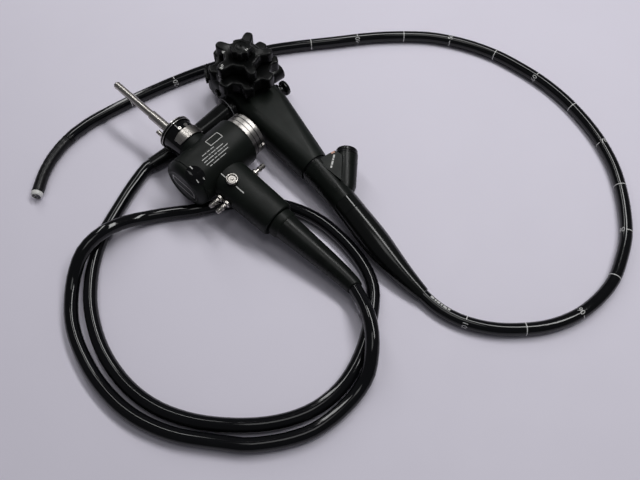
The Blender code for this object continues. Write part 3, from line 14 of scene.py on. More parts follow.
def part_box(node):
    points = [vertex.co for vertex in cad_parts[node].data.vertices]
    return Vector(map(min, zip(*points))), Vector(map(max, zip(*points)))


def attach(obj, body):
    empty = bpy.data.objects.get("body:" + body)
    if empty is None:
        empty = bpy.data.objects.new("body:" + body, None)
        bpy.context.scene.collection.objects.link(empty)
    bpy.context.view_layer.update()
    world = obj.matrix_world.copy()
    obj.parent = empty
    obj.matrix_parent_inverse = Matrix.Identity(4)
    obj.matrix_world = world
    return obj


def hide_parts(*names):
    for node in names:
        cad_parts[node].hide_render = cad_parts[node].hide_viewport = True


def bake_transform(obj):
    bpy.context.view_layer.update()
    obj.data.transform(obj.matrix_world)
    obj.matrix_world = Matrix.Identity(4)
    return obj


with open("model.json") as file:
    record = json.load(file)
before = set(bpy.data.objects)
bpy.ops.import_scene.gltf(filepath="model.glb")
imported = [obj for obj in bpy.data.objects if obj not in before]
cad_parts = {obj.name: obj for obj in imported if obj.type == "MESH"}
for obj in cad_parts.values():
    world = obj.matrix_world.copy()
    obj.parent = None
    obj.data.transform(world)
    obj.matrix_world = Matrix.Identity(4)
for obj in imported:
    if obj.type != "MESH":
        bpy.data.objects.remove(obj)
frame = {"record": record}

bl_info = {
    "name": "Flexible gastroscope",
    "version": (1, 0, 0),
    "blender": (4, 5, 0),
    "location": "3D View > Sidebar > Gastroscope",
    "description": "Finishes the packed model of a flexible gastroscope",
    "category": "Object",
}

X_AXIS = Vector((1.0, 0.0, 0.0))
Y_AXIS = Vector((0.0, 1.0, 0.0))
Z_AXIS = Vector((0.0, 0.0, 1.0))

# Routes of the two long tubes on the table, in metres, as the part's source has them
INSERTION_START = (0.2713, -0.0180, 0.0067)
INSERTION_LEAVING = (0.9920, 0.0511, -0.1158)
INSERTION_ROUTE = (
    (0.291, -0.016, 0.0058), (0.310, -0.009, 0.0056), (0.330, 0.005, 0.0056), (0.347, 0.024, 0.0056),
    (0.360, 0.045, 0.0056), (0.368, 0.069, 0.0056), (0.370, 0.093, 0.0056), (0.367, 0.118, 0.0056),
    (0.358, 0.141, 0.0056), (0.346, 0.163, 0.0056), (0.329, 0.183, 0.0056), (0.311, 0.200, 0.0056),
    (0.291, 0.215, 0.0056), (0.268, 0.227, 0.0056), (0.246, 0.235, 0.0056), (0.221, 0.241, 0.0056),
    (0.197, 0.244, 0.0056), (0.172, 0.244, 0.0056), (0.148, 0.241, 0.0056), (0.124, 0.236, 0.0056),
    (0.100, 0.227, 0.0056), (0.078, 0.215, 0.0056), (0.058, 0.200, 0.0056), (0.042, 0.183, 0.0056),
    (0.026, 0.163, 0.0056), (0.012, 0.142, 0.0056), (-0.001, 0.120, 0.0056), (-0.014, 0.099, 0.0056),
    (-0.027, 0.077, 0.0056), (-0.038, 0.056, 0.0056), (-0.046, 0.032, 0.0056), (-0.053, 0.007, 0.0056),
    (-0.060, -0.018, 0.0056), (-0.065, -0.042, 0.0056), (-0.069, -0.067, 0.0056),
    (-0.072, -0.092, 0.0056), (-0.074, -0.117, 0.0056), (-0.0745, -0.138, 0.0056),
)
BENDING_START = (-0.0706, -0.1628, 0.0057)
BENDING_HEADING = -74.0           # degrees
CORD_START = (0.0090, -0.1203, 0.0072)
CORD_LEAVING = (-0.0389, -0.9983, -0.0442)
CORD_ROUTE = (
    (0.012, -0.134, 0.0070), (0.018, -0.148, 0.0062), (0.026, -0.163, 0.0062), (0.035, -0.179, 0.0062),
    (0.044, -0.194, 0.0062), (0.055, -0.2075, 0.0062), (0.068, -0.220, 0.0062),
    (0.082, -0.2305, 0.0062), (0.096, -0.239, 0.0062), (0.111, -0.2455, 0.0062),
    (0.127, -0.2505, 0.0062), (0.143, -0.2535, 0.0062), (0.160, -0.2545, 0.0062),
    (0.177, -0.2535, 0.0062), (0.194, -0.250, 0.0062), (0.210, -0.244, 0.0062),
    (0.225, -0.2355, 0.0062), (0.239, -0.225, 0.0062), (0.2515, -0.213, 0.0062),
    (0.263, -0.200, 0.0062), (0.273, -0.186, 0.0062), (0.281, -0.171, 0.0062),
    (0.2865, -0.155, 0.0062), (0.2885, -0.138, 0.0062), (0.287, -0.121, 0.0062),
    (0.282, -0.1045, 0.0062), (0.2745, -0.089, 0.0062), (0.265, -0.0745, 0.0062),
    (0.254, -0.0605, 0.0062), (0.2415, -0.048, 0.0062), (0.227, -0.0405, 0.0062),
    (0.210, -0.0365, 0.0062), (0.193, -0.035, 0.0062), (0.175, -0.0355, 0.0062),
    (0.158, -0.038, 0.0062), (0.142, -0.0435, 0.0062), (0.127, -0.0515, 0.0062),
    (0.113, -0.062, 0.0062), (0.101, -0.0745, 0.0062), (0.0915, -0.088, 0.0062),
    (0.084, -0.1025, 0.0062), (0.077, -0.117, 0.0062), (0.0685, -0.131, 0.0062),
    (0.0605, -0.1445, 0.0063), (0.0545, -0.158, 0.0076), (0.0515, -0.173, 0.0130),
    (0.0513, -0.189, 0.0186), (0.0528, -0.205, 0.0202), (0.057, -0.220, 0.0182),
    (0.0645, -0.233, 0.0122), (0.075, -0.244, 0.0076), (0.088, -0.253, 0.0062),
    (0.102, -0.260, 0.0062), (0.118, -0.265, 0.0062), (0.135, -0.268, 0.0062),
    (0.152, -0.2695, 0.0062), (0.170, -0.269, 0.0062), (0.188, -0.2665, 0.0062),
    (0.205, -0.2615, 0.0062), (0.221, -0.254, 0.0062), (0.236, -0.2445, 0.0062),
    (0.2495, -0.233, 0.0062), (0.262, -0.2215, 0.0062), (0.2745, -0.2095, 0.0062),
    (0.2847, -0.195, 0.0062), (0.2932, -0.1797, 0.0062), (0.2993, -0.1634, 0.0062),
    (0.3015, -0.146, 0.0062), (0.301, -0.1295, 0.0062), (0.2985, -0.1145, 0.0068),
    (0.294, -0.1015, 0.0110), (0.2855, -0.0905, 0.0158), (0.2765, -0.0818, 0.0190),
    (0.267, -0.0748, 0.0200), (0.2575, -0.0695, 0.0194), (0.248, -0.0655, 0.0174),
    (0.2395, -0.0628, 0.0157),
)
CORD_END = (0.2320, -0.0610, 0.0146)

# The connector lies in a frame of its own: U along its grip, V across to the socket, W up
CONNECTOR_PLACE = (0.0604, -0.0835, 0.0314)
CONNECTOR_YAW = 8.2               # degrees
CONNECTOR_PITCH = -5.9            # degrees

# Joints of the bending section, from the tube to the tip
PIVOTS = tuple(joint["pos_m"] for joint in frame["record"]["behaviour"]["joints"]
               if joint["name"].startswith("bend_"))

# How far each depth number is turned from the tube's top, in degrees
NUMBER_TURNS = {100: 70.0, 90: -5.0, 80: -65.0, 70: 5.0, 60: -60.0, 50: 0.0, 40: -55.0, 30: 0.0, 20: -62.0}
# Generic print on the tube beside its boot: lengths of the bars
TUBE_PRINT = (0.0034, 0.0018, 0.0030, 0.0016, 0.0038, 0.0022)
# Turned inside of each knob from its rim to the spindle: radius, and drop below the top
KNOB_INSIDES = {
    "ud_knob": ((0.0145, 0.0), (0.0130, 0.0012), (0.0065, 0.0012), (0.0065, 0.0120)),
    "rl_knob": ((0.0125, 0.0), (0.0115, 0.0009), (0.0045, 0.0009), (0.0045, 0.0128),
                (0.0095, 0.0128), (0.0095, 0.0105)),
    "rl_lock_knob": ((0.0062, 0.0), (0.0058, 0.0005), (0.0050, 0.0005), (0.0046, 0.0001),
                     (0.0008, 0.0), (0.0008, 0.0060)),
}
# Marks on top of the knobs, and a painted glint on the brake knob: place and length of each
KNOB_PRINT_AND_GLINT = {
    "ud_knob": ((-0.0045, -0.0240, 0.0024), (-0.0022, -0.0262, 0.0020)),
    "rl_knob": ((-0.0125, -0.0118, 0.0028), (0.0022, -0.0252, 0.0030), (0.0002, -0.0228, 0.0020)),
    # The brake knob's one bar is a painted glint: white paint where light catches its top
    "rl_lock_knob": ((0.0071, 0.0008, 0.0022),),
}
# Lines printed along the barrel: degrees round it, both ends, lengths of bars and gaps in turn
BARREL_PRINT = (
    (88.0, -0.0100, 0.0040, (5, 1, 3, 1, 4)),
    (80.5, -0.0130, 0.0120, (7, 1, 2, 1, 5, 1, 8)),
    (74.0, -0.0130, 0.0150, (4, 1, 6, 1, 3, 1, 6, 1, 5)),
    (67.5, -0.0130, 0.0130, (9, 1, 3, 1, 12)),
    (61.0, -0.0110, 0.0080, (3, 1, 7, 1, 7)),
    (94.0, 0.0030, 0.0170, (1,)),
    (112.0, 0.0030, 0.0170, (1,)),
)
# Corners of the line on the end cap, along U and W
CAP_FRAME = ((-0.0130, 0.0052), (0.0095, 0.0052), (0.0130, 0.0020), (0.0130, -0.0052),
             (-0.0095, -0.0052), (-0.0130, -0.0020))
# Light windows on the tip's face: distance across it, and radius
TIP_WINDOWS = ((0.0019, 0.0017), (-0.0023, 0.00145))
# Outline of the web beside the channel port, seen from above
WEB_CORNERS = ((0.1200, -0.0090), (0.1200, 0.0045), (0.1212, 0.0118), (0.1300, 0.0140),
               (0.1500, -0.0060))

# Nodes whose visible form comes from another operator
MADE_ELSEWHERE = ("ud_knob", "rl_knob", "rl_lock_knob", "insertion_tube", "universal_cord",
                  "bending_cover", "connector_boot")
# Nodes whose finish isn't that of their slot
DARK_METAL = ("cord_collar", "plug_flange", "suction_cylinder", "air_water_cylinder", "channel_port")
SOFT_BOOTS = ("insertion_boot", "cord_boot")
# How far the sharp edges of a node are broken
EDGE = 0.00025
EDGES = {"ud_lock_lever": 0.0007, "control_housing": 0.0005, "side_cover": 0.0005,
         "connector_end_cap": 0.0006, "suction_button": 0.0005, "air_water_button": 0.0005}

# Angles in degrees: above SMOOTH an edge shows, above CREASE a rounded node keeps it, below FLAT it goes
SMOOTH = 32.0
CREASE = 50.0
FLAT = 0.8
# How far paint stands off its surface, and how far a mark may be from it while it is drawn
PAINT = 0.00015
MARK_REACH = 0.005
CAST_START = 0.020


def colour(name, default):
    return FloatVectorProperty(name=name, description=f"{name} of the surface", subtype="COLOR", size=3,
                               min=0.0, max=1.0, default=default)


def length(name, default, description):
    return FloatProperty(name=name, description=description, unit="LENGTH", subtype="DISTANCE",
                         min=0.0, default=default)


def number(name, default, description, **limits):
    return FloatProperty(name=name, description=description, default=default, **limits)


def petals(name, default, description):
    return IntProperty(name=name, description=description, default=default, min=3)


class KnobSettings(bpy.types.PropertyGroup):
    ud_radius: length("Up-down radius", 0.0335, "Outer radius of the up-down knob")
    ud_scallop: length("Up-down scallop", 0.0070, "Depth of the hollows of the up-down knob")
    ud_phase: number("Up-down phase", 17.0, "Where its first petal stands, in degrees")
    rl_radius: length("Right-left radius", 0.0285, "Outer radius of the right-left knob")
    rl_crown: length("Right-left lift", 0.0023, "How much higher its petals start than its hub")
    rl_scallop: length("Right-left scallop", 0.0115, "Depth of the hollows of the right-left knob")
    rl_phase: number("Right-left phase", 129.0, "Where its first petal stands, in degrees")
    lock_radius: length("Brake radius", 0.0105, "Outer radius of the brake knob")
    lock_scallop: length("Brake scallop", 0.0014, "Depth of the hollows of the brake knob")
    ud_petals: petals("Up-down petals", 8, "Petals round the up-down knob")
    rl_petals: petals("Right-left petals", 5, "Petals round the right-left knob")
    ud_narrow: number("Up-down narrowness", 0.1, "0 for broad petals, towards 1 for fingers",
                      min=0.0, max=0.9)
    rl_narrow: number("Right-left narrowness", 0.5, "0 for broad petals, towards 1 for fingers",
                      min=0.0, max=0.9)
    steep: number("Steepness", 2.6, "How blocky the petals are", min=1.0)
    edge: length("Edge", 0.0018, "Rounding of a petal's upper edge")


class TubeSettings(bpy.types.PropertyGroup):
    insertion_diameter: length("Insertion tube", 0.0110, "Outside diameter of the insertion tube")
    cord_diameter: length("Universal cord", 0.0120, "Outside diameter of the universal cord")
    point_spacing: length("Point spacing", 0.0080, "Distance between points along a tube")
    straight: length("End straight", 0.0050, "Straight length where a tube leaves a boot")
    end_gap: length("End gap", 0.0003, "Between the insertion tube's end and the bending section")
    mark_length: length("Band width", 0.0008, "Width of a depth band along the tube")
    jacket: colour("Jacket", (0.0032, 0.0034, 0.0042))
    mark: colour("Marks", (0.62, 0.62, 0.61))
    digit_size: length("Digit height", 0.0066, "Height of the depth numbers")
    first_mark: length("First mark", 0.15, "Depth of the first ring from the tip")
    boot_start: length("Boot start", 0.0916, "Start of the connector's boot along the connector's axis")
    boot_radius: length("Boot radius", 0.0124, "Radius of the connector's boot at its nut")
    boot_end_radius: length("Boot end radius", 0.0072, "Radius of the connector's boot at the cord")
    boot_straight: number("Boot straight", 0.42, "Share of the boot that follows the connector's axis",
                          min=0.02, max=0.6)
    boot_turn: number("Boot turn", 0.13, "Share of the boot that turns to the cord", min=0.02, max=0.4)
    print_start: length("Print start", 0.0065, "Distance of the generic print from the tube's start")
    print_gap: length("Print gap", 0.0009, "Between two bars of that print")
    plate_radius: length("Tip plate radius", 0.0040, "Radius of the dark field on the tip's face")
    tip_overlap: length("Tip overlap", 0.0080, "Length of sleeve drawn over the side of the tip")
    bending_length: length("Bending length", 0.0810, "From the tube's end to the face of the tip")
    sleeve_radius: length("Sleeve radius", 0.00535, "Outside radius of the rubber over the bending section")


class ConnectorSettings(bpy.types.PropertyGroup):
    barrel_radius: length("Barrel radius", 0.0237, "Outer radius of the connector's barrel")
    neck_radius: length("Neck radius", 0.0155, "Outer radius of the neck under the plug")
    neck_length: length("Neck length", 0.0450, "From the barrel's axis to the flange")
    flange_radius: length("Flange radius", 0.0170, "Outer radius of the plug's flange")
    socket_radius: length("Socket radius", 0.0205, "Outer radius of the socket ring")
    band_width: length("Band width", 0.0200, "Width of the black band under the flange")
    screw_place: length("Screw place", 0.0387, "From the barrel's axis to the screws of the neck")
    gloss_place: length("Gloss place", 0.0262, "From the neck's axis to the glossy field on the barrel")
    index_width: length("Index width", 0.0009, "Width of the index lines and the end cap's line")
    print_width: length("Print width", 0.0006, "Width of the generic printed lines")
    print_colour: colour("Print", (0.62, 0.62, 0.60))


class ControlSettings(bpy.types.PropertyGroup):
    web_height: length("Web height", 0.0215, "Middle of the web beside the channel port, above the table")
    web_thickness: length("Web thickness", 0.0220, "Thickness of that web")
    print_colour: colour("Print", (0.62, 0.62, 0.60))


class StageSettings(bpy.types.PropertyGroup):
    eye: FloatVectorProperty(name="Eye", description="Place of the camera", subtype="TRANSLATION",
                             unit="LENGTH", size=3, default=(0.4016, -0.2417, 0.534))
    aim: FloatVectorProperty(name="Aim", description="Direction that the camera looks in", size=3,
                             subtype="DIRECTION", default=(-0.3760, 0.3156, -0.8712))
    lens: number("Lens", 38.25, "Focal length in millimetres", min=1.0)
    floor: colour("Floor", (0.80, 0.768, 0.872))
    key: number("Key light", 10.5, "Power of the main light", min=0.0, unit="POWER")
    fill: number("Fill light", 3.5, "Power of the broad light", min=0.0, unit="POWER")
    strip: number("Strip light", 3.3, "Power of the narrow side light", min=0.0, unit="POWER")
    world: number("World", 0.1, "Strength of the light from all round", min=0.0)


def smooth_curve(points, per_span=12):
    """Points along a Catmull-Rom curve through the given ones."""
    points = [Vector(p) for p in points]
    ends = [2 * points[0] - points[1]] + points + [2 * points[-1] - points[-2]]
    curve = []
    for a, b, c, d in zip(ends, ends[1:], ends[2:], ends[3:]):
        for i in range(per_span):
            t = i / per_span
            curve.append(0.5 * (2 * b + (c - a) * t + (2 * a - 5 * b + 4 * c - d) * t * t
                                + (3 * b - a - 3 * c + d) * t ** 3))
    curve.append(points[-1])
    return curve


def length_of(points):
    return sum((b - a).length for a, b in zip(points, points[1:]))


def along(points, distance):
    """Point and direction at a distance along a line of points."""
    run = 0.0
    for a, b in zip(points, points[1:]):
        span = (b - a).length
        if run + span >= distance:
            return a.lerp(b, (distance - run) / span), (b - a).normalized()
        run += span
    return points[-1], (points[-1] - points[-2]).normalized()


def even_points(points, spacing):
    """Points a steady distance apart along the smooth curve through the given ones."""
    curve = smooth_curve(points)
    total = length_of(curve)
    steps = max(2, round(total / spacing))
    return [along(curve, total * i / steps)[0] for i in range(steps + 1)]


def between(first, second, degrees):
    """Direction turned by an angle from one axis towards another."""
    angle = math.radians(degrees)
    return first * math.cos(angle) + second * math.sin(angle)


def heading_vector(degrees):
    return between(X_AXIS, Y_AXIS, degrees)


class Graph:
    """Short way to build a node material."""

    def __init__(self, name):
        self.material = bpy.data.materials.new(name)
        self.material.use_nodes = True
        self.nodes = self.material.node_tree.nodes
        self.links = self.material.node_tree.links
        self.shader = self.nodes["Principled BSDF"]
        self.place = self.nodes.new("ShaderNodeTexCoord").outputs["Object"]

    def add(self, kind, **values):
        node = self.nodes.new(kind)
        for key, value in values.items():
            node.inputs[key.replace("_", " ")].default_value = value
        return node

    def stretched(self, scale):
        node = self.add("ShaderNodeMapping", Scale=scale)
        self.links.new(self.place, node.inputs["Vector"])
        return node.outputs["Vector"]

    def noise(self, scale, detail=4.0, rough=0.55, place=None):
        node = self.add("ShaderNodeTexNoise", Scale=scale, Detail=detail, Roughness=rough)
        self.links.new(place or self.place, node.inputs["Vector"])
        return node.outputs["Fac"]

    def tones(self, source, base, low, high, from_low=0.3, from_high=0.7):
        """A darker and a lighter tint of the base, mixed by a pattern."""
        node = self.nodes.new("ShaderNodeValToRGB")
        stops = ((from_low, low), (from_high, high))
        for element, (position, factor) in zip(node.color_ramp.elements, stops):
            element.position = position
            element.color = (*tint(base, factor), 1.0)
        self.links.new(source, node.inputs["Fac"])
        return node.outputs["Color"]

    def spread(self, source, low, high, from_low=0.3, from_high=0.7):
        node = self.add("ShaderNodeMapRange", From_Min=from_low, From_Max=from_high, To_Min=low,
                        To_Max=high)
        self.links.new(source, node.inputs["Value"])
        return node.outputs["Result"]

    def mix(self, factor, a, b):
        node = self.nodes.new("ShaderNodeMix")
        node.data_type = "RGBA"
        for key, value in ((0, factor), (6, a), (7, b)):
            if hasattr(value, "links"):
                self.links.new(value, node.inputs[key])
            else:
                node.inputs[key].default_value = value if key == 0 else (*value, 1.0)
        return node.outputs[2]

    def bump(self, height, distance, strength):
        node = self.add("ShaderNodeBump", Strength=strength, Distance=distance)
        self.links.new(height, node.inputs["Height"])
        self.links.new(node.outputs["Normal"], self.shader.inputs["Normal"])

    def drive(self, socket, source):
        self.links.new(source, self.shader.inputs[socket])

    def fix(self, **values):
        for key, value in values.items():
            self.shader.inputs[key.replace("_", " ")].default_value = value


def tint(base, factor):
    return tuple(min(1.0, c * factor) for c in base)


def moulded(name, base, rough):
    """Dark moulded housing: fine grain, faint handling marks, edges rubbed a little lighter."""
    g = Graph(name)
    cloud = g.tones(g.noise(26.0, 5.0), base, 0.82, 1.25)
    edge = g.nodes.new("ShaderNodeNewGeometry").outputs["Pointiness"]
    worn = g.spread(edge, 0.0, 0.5, 0.55, 0.65)
    g.drive("Base Color", g.mix(worn, cloud, tint(base, 1.9)))
    g.drive("Roughness", g.spread(g.noise(60.0, 6.0, 0.6), rough - 0.07, rough + 0.09))
    g.bump(g.noise(2600.0, 2.0), 0.00004, 0.5)
    g.fix(IOR=1.5, Specular_IOR_Level=0.17)
    return g.material


def rubber(name, base, rough):
    """Dull black rubber with a dusty bloom and a fine cast skin."""
    g = Graph(name)
    bloom = g.noise(45.0, 6.0, 0.65)
    g.drive("Base Color", g.tones(bloom, base, 0.8, 1.7, 0.35, 0.75))
    g.drive("Roughness", g.spread(g.noise(120.0, 3.0), rough - 0.08, rough + 0.1))
    g.bump(g.noise(1900.0, 3.0), 0.00003, 0.25)
    g.fix(Specular_IOR_Level=0.2)
    return g.material


def jacket(name, base, rough=0.08):
    """Glossy tube jacket over a wound coil: smooth, with faint ripples and wiped smears."""
    g = Graph(name)
    smear = g.noise(38.0, 5.0, 0.6)
    g.drive("Base Color", g.tones(smear, base, 1.0, 1.4, 0.35, 0.8))
    g.drive("Roughness", g.spread(g.noise(85.0, 5.0, 0.6), rough - 0.03, rough + 0.03))
    g.bump(g.noise(420.0, 2.0), 0.00002, 0.2)
    g.fix(IOR=1.5, Specular_IOR_Level=0.33)
    return g.material


def metal(name, base, rough=0.26):
    """Stainless or nickel surface with drawn lines and dull fingerprints."""
    g = Graph(name)
    lines = g.noise(1.0, 3.0, 0.6, g.stretched((60.0, 900.0, 900.0)))
    fingers = g.noise(55.0, 5.0, 0.6)
    g.drive("Base Color", g.tones(fingers, base, 0.9, 1.04))
    g.drive("Roughness", g.spread(lines, rough - 0.04, rough + 0.04))
    g.bump(lines, 0.000004, 0.12)
    g.fix(Metallic=1.0)
    return g.material


def plain(name, base, rough=0.4):
    """Paint or plastic in one colour with slight unevenness."""
    g = Graph(name)
    g.drive("Base Color", g.tones(g.noise(300.0), base, 0.88, 1.05))
    g.drive("Roughness", g.spread(g.noise(510.0), rough - 0.06, rough + 0.08))
    g.bump(g.noise(1800.0, 2.0), 0.00002, 0.3)
    return g.material


def table(name, base):
    """Matt table top, almost even."""
    g = Graph(name)
    g.drive("Base Color", g.tones(g.noise(7.0, 3.0), base, 0.985, 1.01))
    g.drive("Roughness", g.spread(g.noise(30.0), 0.5, 0.58))
    g.bump(g.noise(900.0, 2.0), 0.00002, 0.2)
    g.fix(Specular_IOR_Level=0.2)
    return g.material


def optic(name, base):
    """Dark coated glass of the lens."""
    g = Graph(name)
    g.drive("Base Color", g.tones(g.noise(900.0), base, 0.7, 1.6))
    g.drive("Roughness", g.spread(g.noise(500.0), 0.03, 0.08))
    g.fix(IOR=1.6, Coat_Weight=0.6, Coat_Roughness=0.03)
    return g.material


def paint_node(name, material):
    """Give a carried-over CAD node its finish."""
    thing = bpy.data.objects[name]
    if not thing.material_slots:
        thing.data.materials.append(material)
    for place in thing.material_slots:
        place.material = material


def tube_curve(name, points, diameter, material):
    curve = bpy.data.curves.new(name, "CURVE")
    curve.dimensions = "3D"
    curve.bevel_depth = diameter / 2
    curve.bevel_resolution = 6
    curve.use_fill_caps = True
    spline = curve.splines.new("POLY")
    spline.points.add(len(points) - 1)
    for made, point in zip(spline.points, points):
        made.co = (*point, 1.0)
    curve.materials.append(material)
    tube = bpy.data.objects.new(name, curve)
    bpy.context.scene.collection.objects.link(tube)
    return tube


def tube_points(start, leaving, route, end, arriving, s):
    """A tube's middle line, straight for a short way at both ends."""
    first = Vector(start) + Vector(leaving) * s.straight
    last = Vector(end) - arriving * s.straight
    return [Vector(start), *even_points([first, *route, last], s.point_spacing), Vector(end)]


def put(name, bm, material, smooth=35.0):
    """Turn a bmesh into a smooth-shaded object."""
    bmesh.ops.recalc_face_normals(bm, faces=bm.faces)
    mesh = bpy.data.meshes.new(name)
    bm.to_mesh(mesh)
    bm.free()
    if "custom_normal" in mesh.attributes:
        mesh.attributes.remove(mesh.attributes["custom_normal"])
    mesh.shade_smooth()
    mesh.set_sharp_from_angle(angle=math.radians(smooth))
    mesh.materials.clear()
    mesh.materials.append(material)
    made = bpy.data.objects.new(name, mesh)
    bpy.context.scene.collection.objects.link(made)
    return made


def detail(name, bm, material, body="endoscope", smooth=35.0):
    """Keep a made detail on a body."""
    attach(put(name, bm, material, smooth), body)


def loft(bm, loops, ring=False):
    """Skin loops of equal length into a bmesh, closed into a ring or capped at both ends."""
    rows = [[bm.verts.new(point) for point in loop] for loop in loops]
    count = len(rows[0])
    pairs = list(zip(rows, rows[1:]))
    if ring:
        pairs.append((rows[-1], rows[0]))
    for low, high in pairs:
        for i in range(count):
            j = (i + 1) % count
            bm.faces.new((low[i], low[j], high[j], high[i]))
    if not ring:
        bm.faces.new(rows[0])
        bm.faces.new(rows[-1])


def circle(centre, normal, radius, sides):
    normal = Vector(normal).normalized()
    first = normal.cross(Z_AXIS if abs(normal.z) < 0.9 else X_AXIS).normalized()
    second = normal.cross(first)
    return [Vector(centre) + radius * (math.cos(2 * math.pi * i / sides) * first
                                       + math.sin(2 * math.pi * i / sides) * second)
            for i in range(sides)]


def turned(bm, centre, normal, profile, sides, ring=False):
    """Turn a profile of (radius, distance along the axis)."""
    axis = Vector(normal).normalized()
    loft(bm, [circle(Vector(centre) + axis * h, axis, r, sides) for r, h in profile], ring)


def hoop(bm, centre, normal, radius, width, proud, sunk, sides=64):
    """A thin hoop round a turned part, standing proud of its radius."""
    turned(bm, centre, normal, [(radius - sunk, 0.0), (radius + proud, 0.0), (radius + proud, width),
                                (radius - sunk, width)], sides, ring=True)


def body_of(node):
    bodies = frame["record"]["behaviour"]["bodies"]
    return next(body for body, nodes in bodies.items() if node in nodes)


def stand_in(made, node):
    """Let a made piece take a CAD node's place and body."""
    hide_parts(node)
    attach(made, body_of(node))
    return made


def dressed(node, material, rounded):
    """A copy of a CAD node with one skin, smooth shading and its edges broken, or rounded off."""
    bm = bmesh.new()
    bm.from_mesh(bpy.data.objects[node].data)
    bmesh.ops.remove_doubles(bm, verts=bm.verts, dist=1e-6)
    if rounded:
        bmesh.ops.join_triangles(bm, faces=bm.faces, angle_face_threshold=math.radians(25.0),
                                 angle_shape_threshold=math.radians(120.0))
        crease = bm.edges.layers.float.new("crease_edge")
        for line in bm.edges:
            if line.calc_face_angle(0.0) > math.radians(CREASE):
                line[crease] = 1.0
    else:
        bmesh.ops.dissolve_limit(bm, angle_limit=math.radians(FLAT), verts=bm.verts, edges=bm.edges)
    made = put(f"{node}_skin", bm, material, SMOOTH)
    if rounded:
        finer = made.modifiers.new("round", "SUBSURF")
        finer.levels = finer.render_levels = 2
    else:
        bevel = made.modifiers.new("edge", "BEVEL")
        bevel.width = EDGES.get(node, EDGE)
        bevel.segments = 2
        bevel.limit_method = "ANGLE"
        bevel.angle_limit = math.radians(SMOOTH)
    return stand_in(made, node)


def lobed(radius, depth, lobes, phase, narrow, count, steep):
    """Outline of a scalloped knob, seen from above. A steep one has blocky petals."""
    low = math.tanh(steep * (-1 - narrow))
    high = math.tanh(steep * (1 - narrow))
    points = []
    for i in range(count):
        angle = 2 * math.pi * i / count
        share = (math.tanh(steep * (math.cos(lobes * angle) - narrow)) - low) / (high - low)
        r = radius - depth * (1 - share)
        turn = angle + math.radians(phase)
        points.append(Vector((r * math.cos(turn), r * math.sin(turn), 0.0)))
    return points


def inset(points, distance):
    """Move a closed outline inwards by a distance."""
    moved = []
    for i, point in enumerate(points):
        forward = (points[(i + 1) % len(points)] - points[i - 1]).normalized()
        moved.append(point + Z_AXIS.cross(forward) * distance)
    return moved


def knob(node, outline, edge, crown, material):
    """A knob between the heights of its CAD node, with rounded rims and its petals lifted by crown."""
    low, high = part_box(node)
    count = len(outline)
    loops = []
    rim = 0.6 * edge
    for i in range(5):
        angle = math.radians(90.0 * i / 4)
        loops.append([p + Z_AXIS * (low.z + crown + rim * (1 - math.cos(angle)))
                      for p in inset(outline, rim * (1 - math.sin(angle)))])
    for i in range(8):
        angle = math.radians(90.0 * i / 7)
        loops.append([p + Z_AXIS * (high.z - edge * (1 - math.sin(angle)))
                      for p in inset(outline, edge * (1 - math.cos(angle)))])
    start = math.atan2(outline[0].y, outline[0].x)
    for r, drop in KNOB_INSIDES[node]:
        loops.append([Vector((r * math.cos(start + 2 * math.pi * i / count),
                              r * math.sin(start + 2 * math.pi * i / count), high.z - drop))
                      for i in range(count)])
    bm = bmesh.new()
    loft(bm, loops, ring=True)
    return stand_in(put(f"{node}_skin", bm, material, CREASE), node)


def connector_matrix():
    turn = Matrix.Rotation(math.radians(CONNECTOR_YAW), 4, "Z")
    tilt = Matrix.Rotation(-math.radians(CONNECTOR_PITCH), 4, "Y")
    return Matrix.Translation(CONNECTOR_PLACE) @ turn @ tilt


def skin_tree(*nodes):
    """Search tree over the outsides of CAD nodes, to lay marks on."""
    verts = []
    faces = []
    for node in nodes:
        mesh = bpy.data.objects[node].data
        faces += [[len(verts) + i for i in face.vertices] for face in mesh.polygons]
        verts += [vertex.co.copy() for vertex in mesh.vertices]
    return BVHTree.FromPolygons(verts, faces)


def lay(bm, tree, rows, cast, lift):
    """Drop rows of points onto a surface and skin them."""
    cast = cast.normalized()
    laid = []
    for row in rows:
        hits = [tree.ray_cast(point - cast * CAST_START, cast)[0]
                or tree.find_nearest(point, MARK_REACH)[0] for point in row]
        if None in hits:
            raise RuntimeError("a mark misses its surface")
        laid.append([bm.verts.new(hit - cast * lift) for hit in hits])
    for low, high in zip(laid, laid[1:]):
        for i in range(len(low) - 1):
            bm.faces.new((low[i], low[i + 1], high[i + 1], high[i]))


def stripe(bm, tree, start, end, width, cast, lift=PAINT, steps=5):
    """A thin painted line between two points, on the surface met in the direction of the cast."""
    side = (end - start).cross(cast).normalized() * width / 2
    rows = [[start.lerp(end, i / steps) + side * s for s in (-1, 1)] for i in range(steps + 1)]
    lay(bm, tree, rows, cast, lift)


def dashes(bm, tree, start, end, width, cast, spans):
    """A row of short lines, as generic print."""
    total = sum(spans)
    run = 0.0
    for i, span in enumerate(spans):
        if i % 2 == 0:
            stripe(bm, tree, start.lerp(end, run / total), start.lerp(end, (run + span) / total),
                   width, cast, steps=2)
        run += span


def band(bm, point, direction, radius, width, centre=0.0, sweep=360.0):
    """A painted band round a tube, or an arc of one, its centre in degrees from the top."""
    side = direction.cross(Z_AXIS).normalized()
    up = side.cross(direction)
    count = max(8, round(sweep / 8))
    rows = []
    for i in range(count + 1):
        angle = math.radians(centre - sweep / 2 + sweep * i / count)
        out = point + radius * (side * math.sin(angle) + up * math.cos(angle))
        rows.append([bm.verts.new(out + direction * side_of * width / 2) for side_of in (-1, 1)])
    for a, b in zip(rows, rows[1:]):
        bm.faces.new((a[0], a[1], b[1], b[0]))


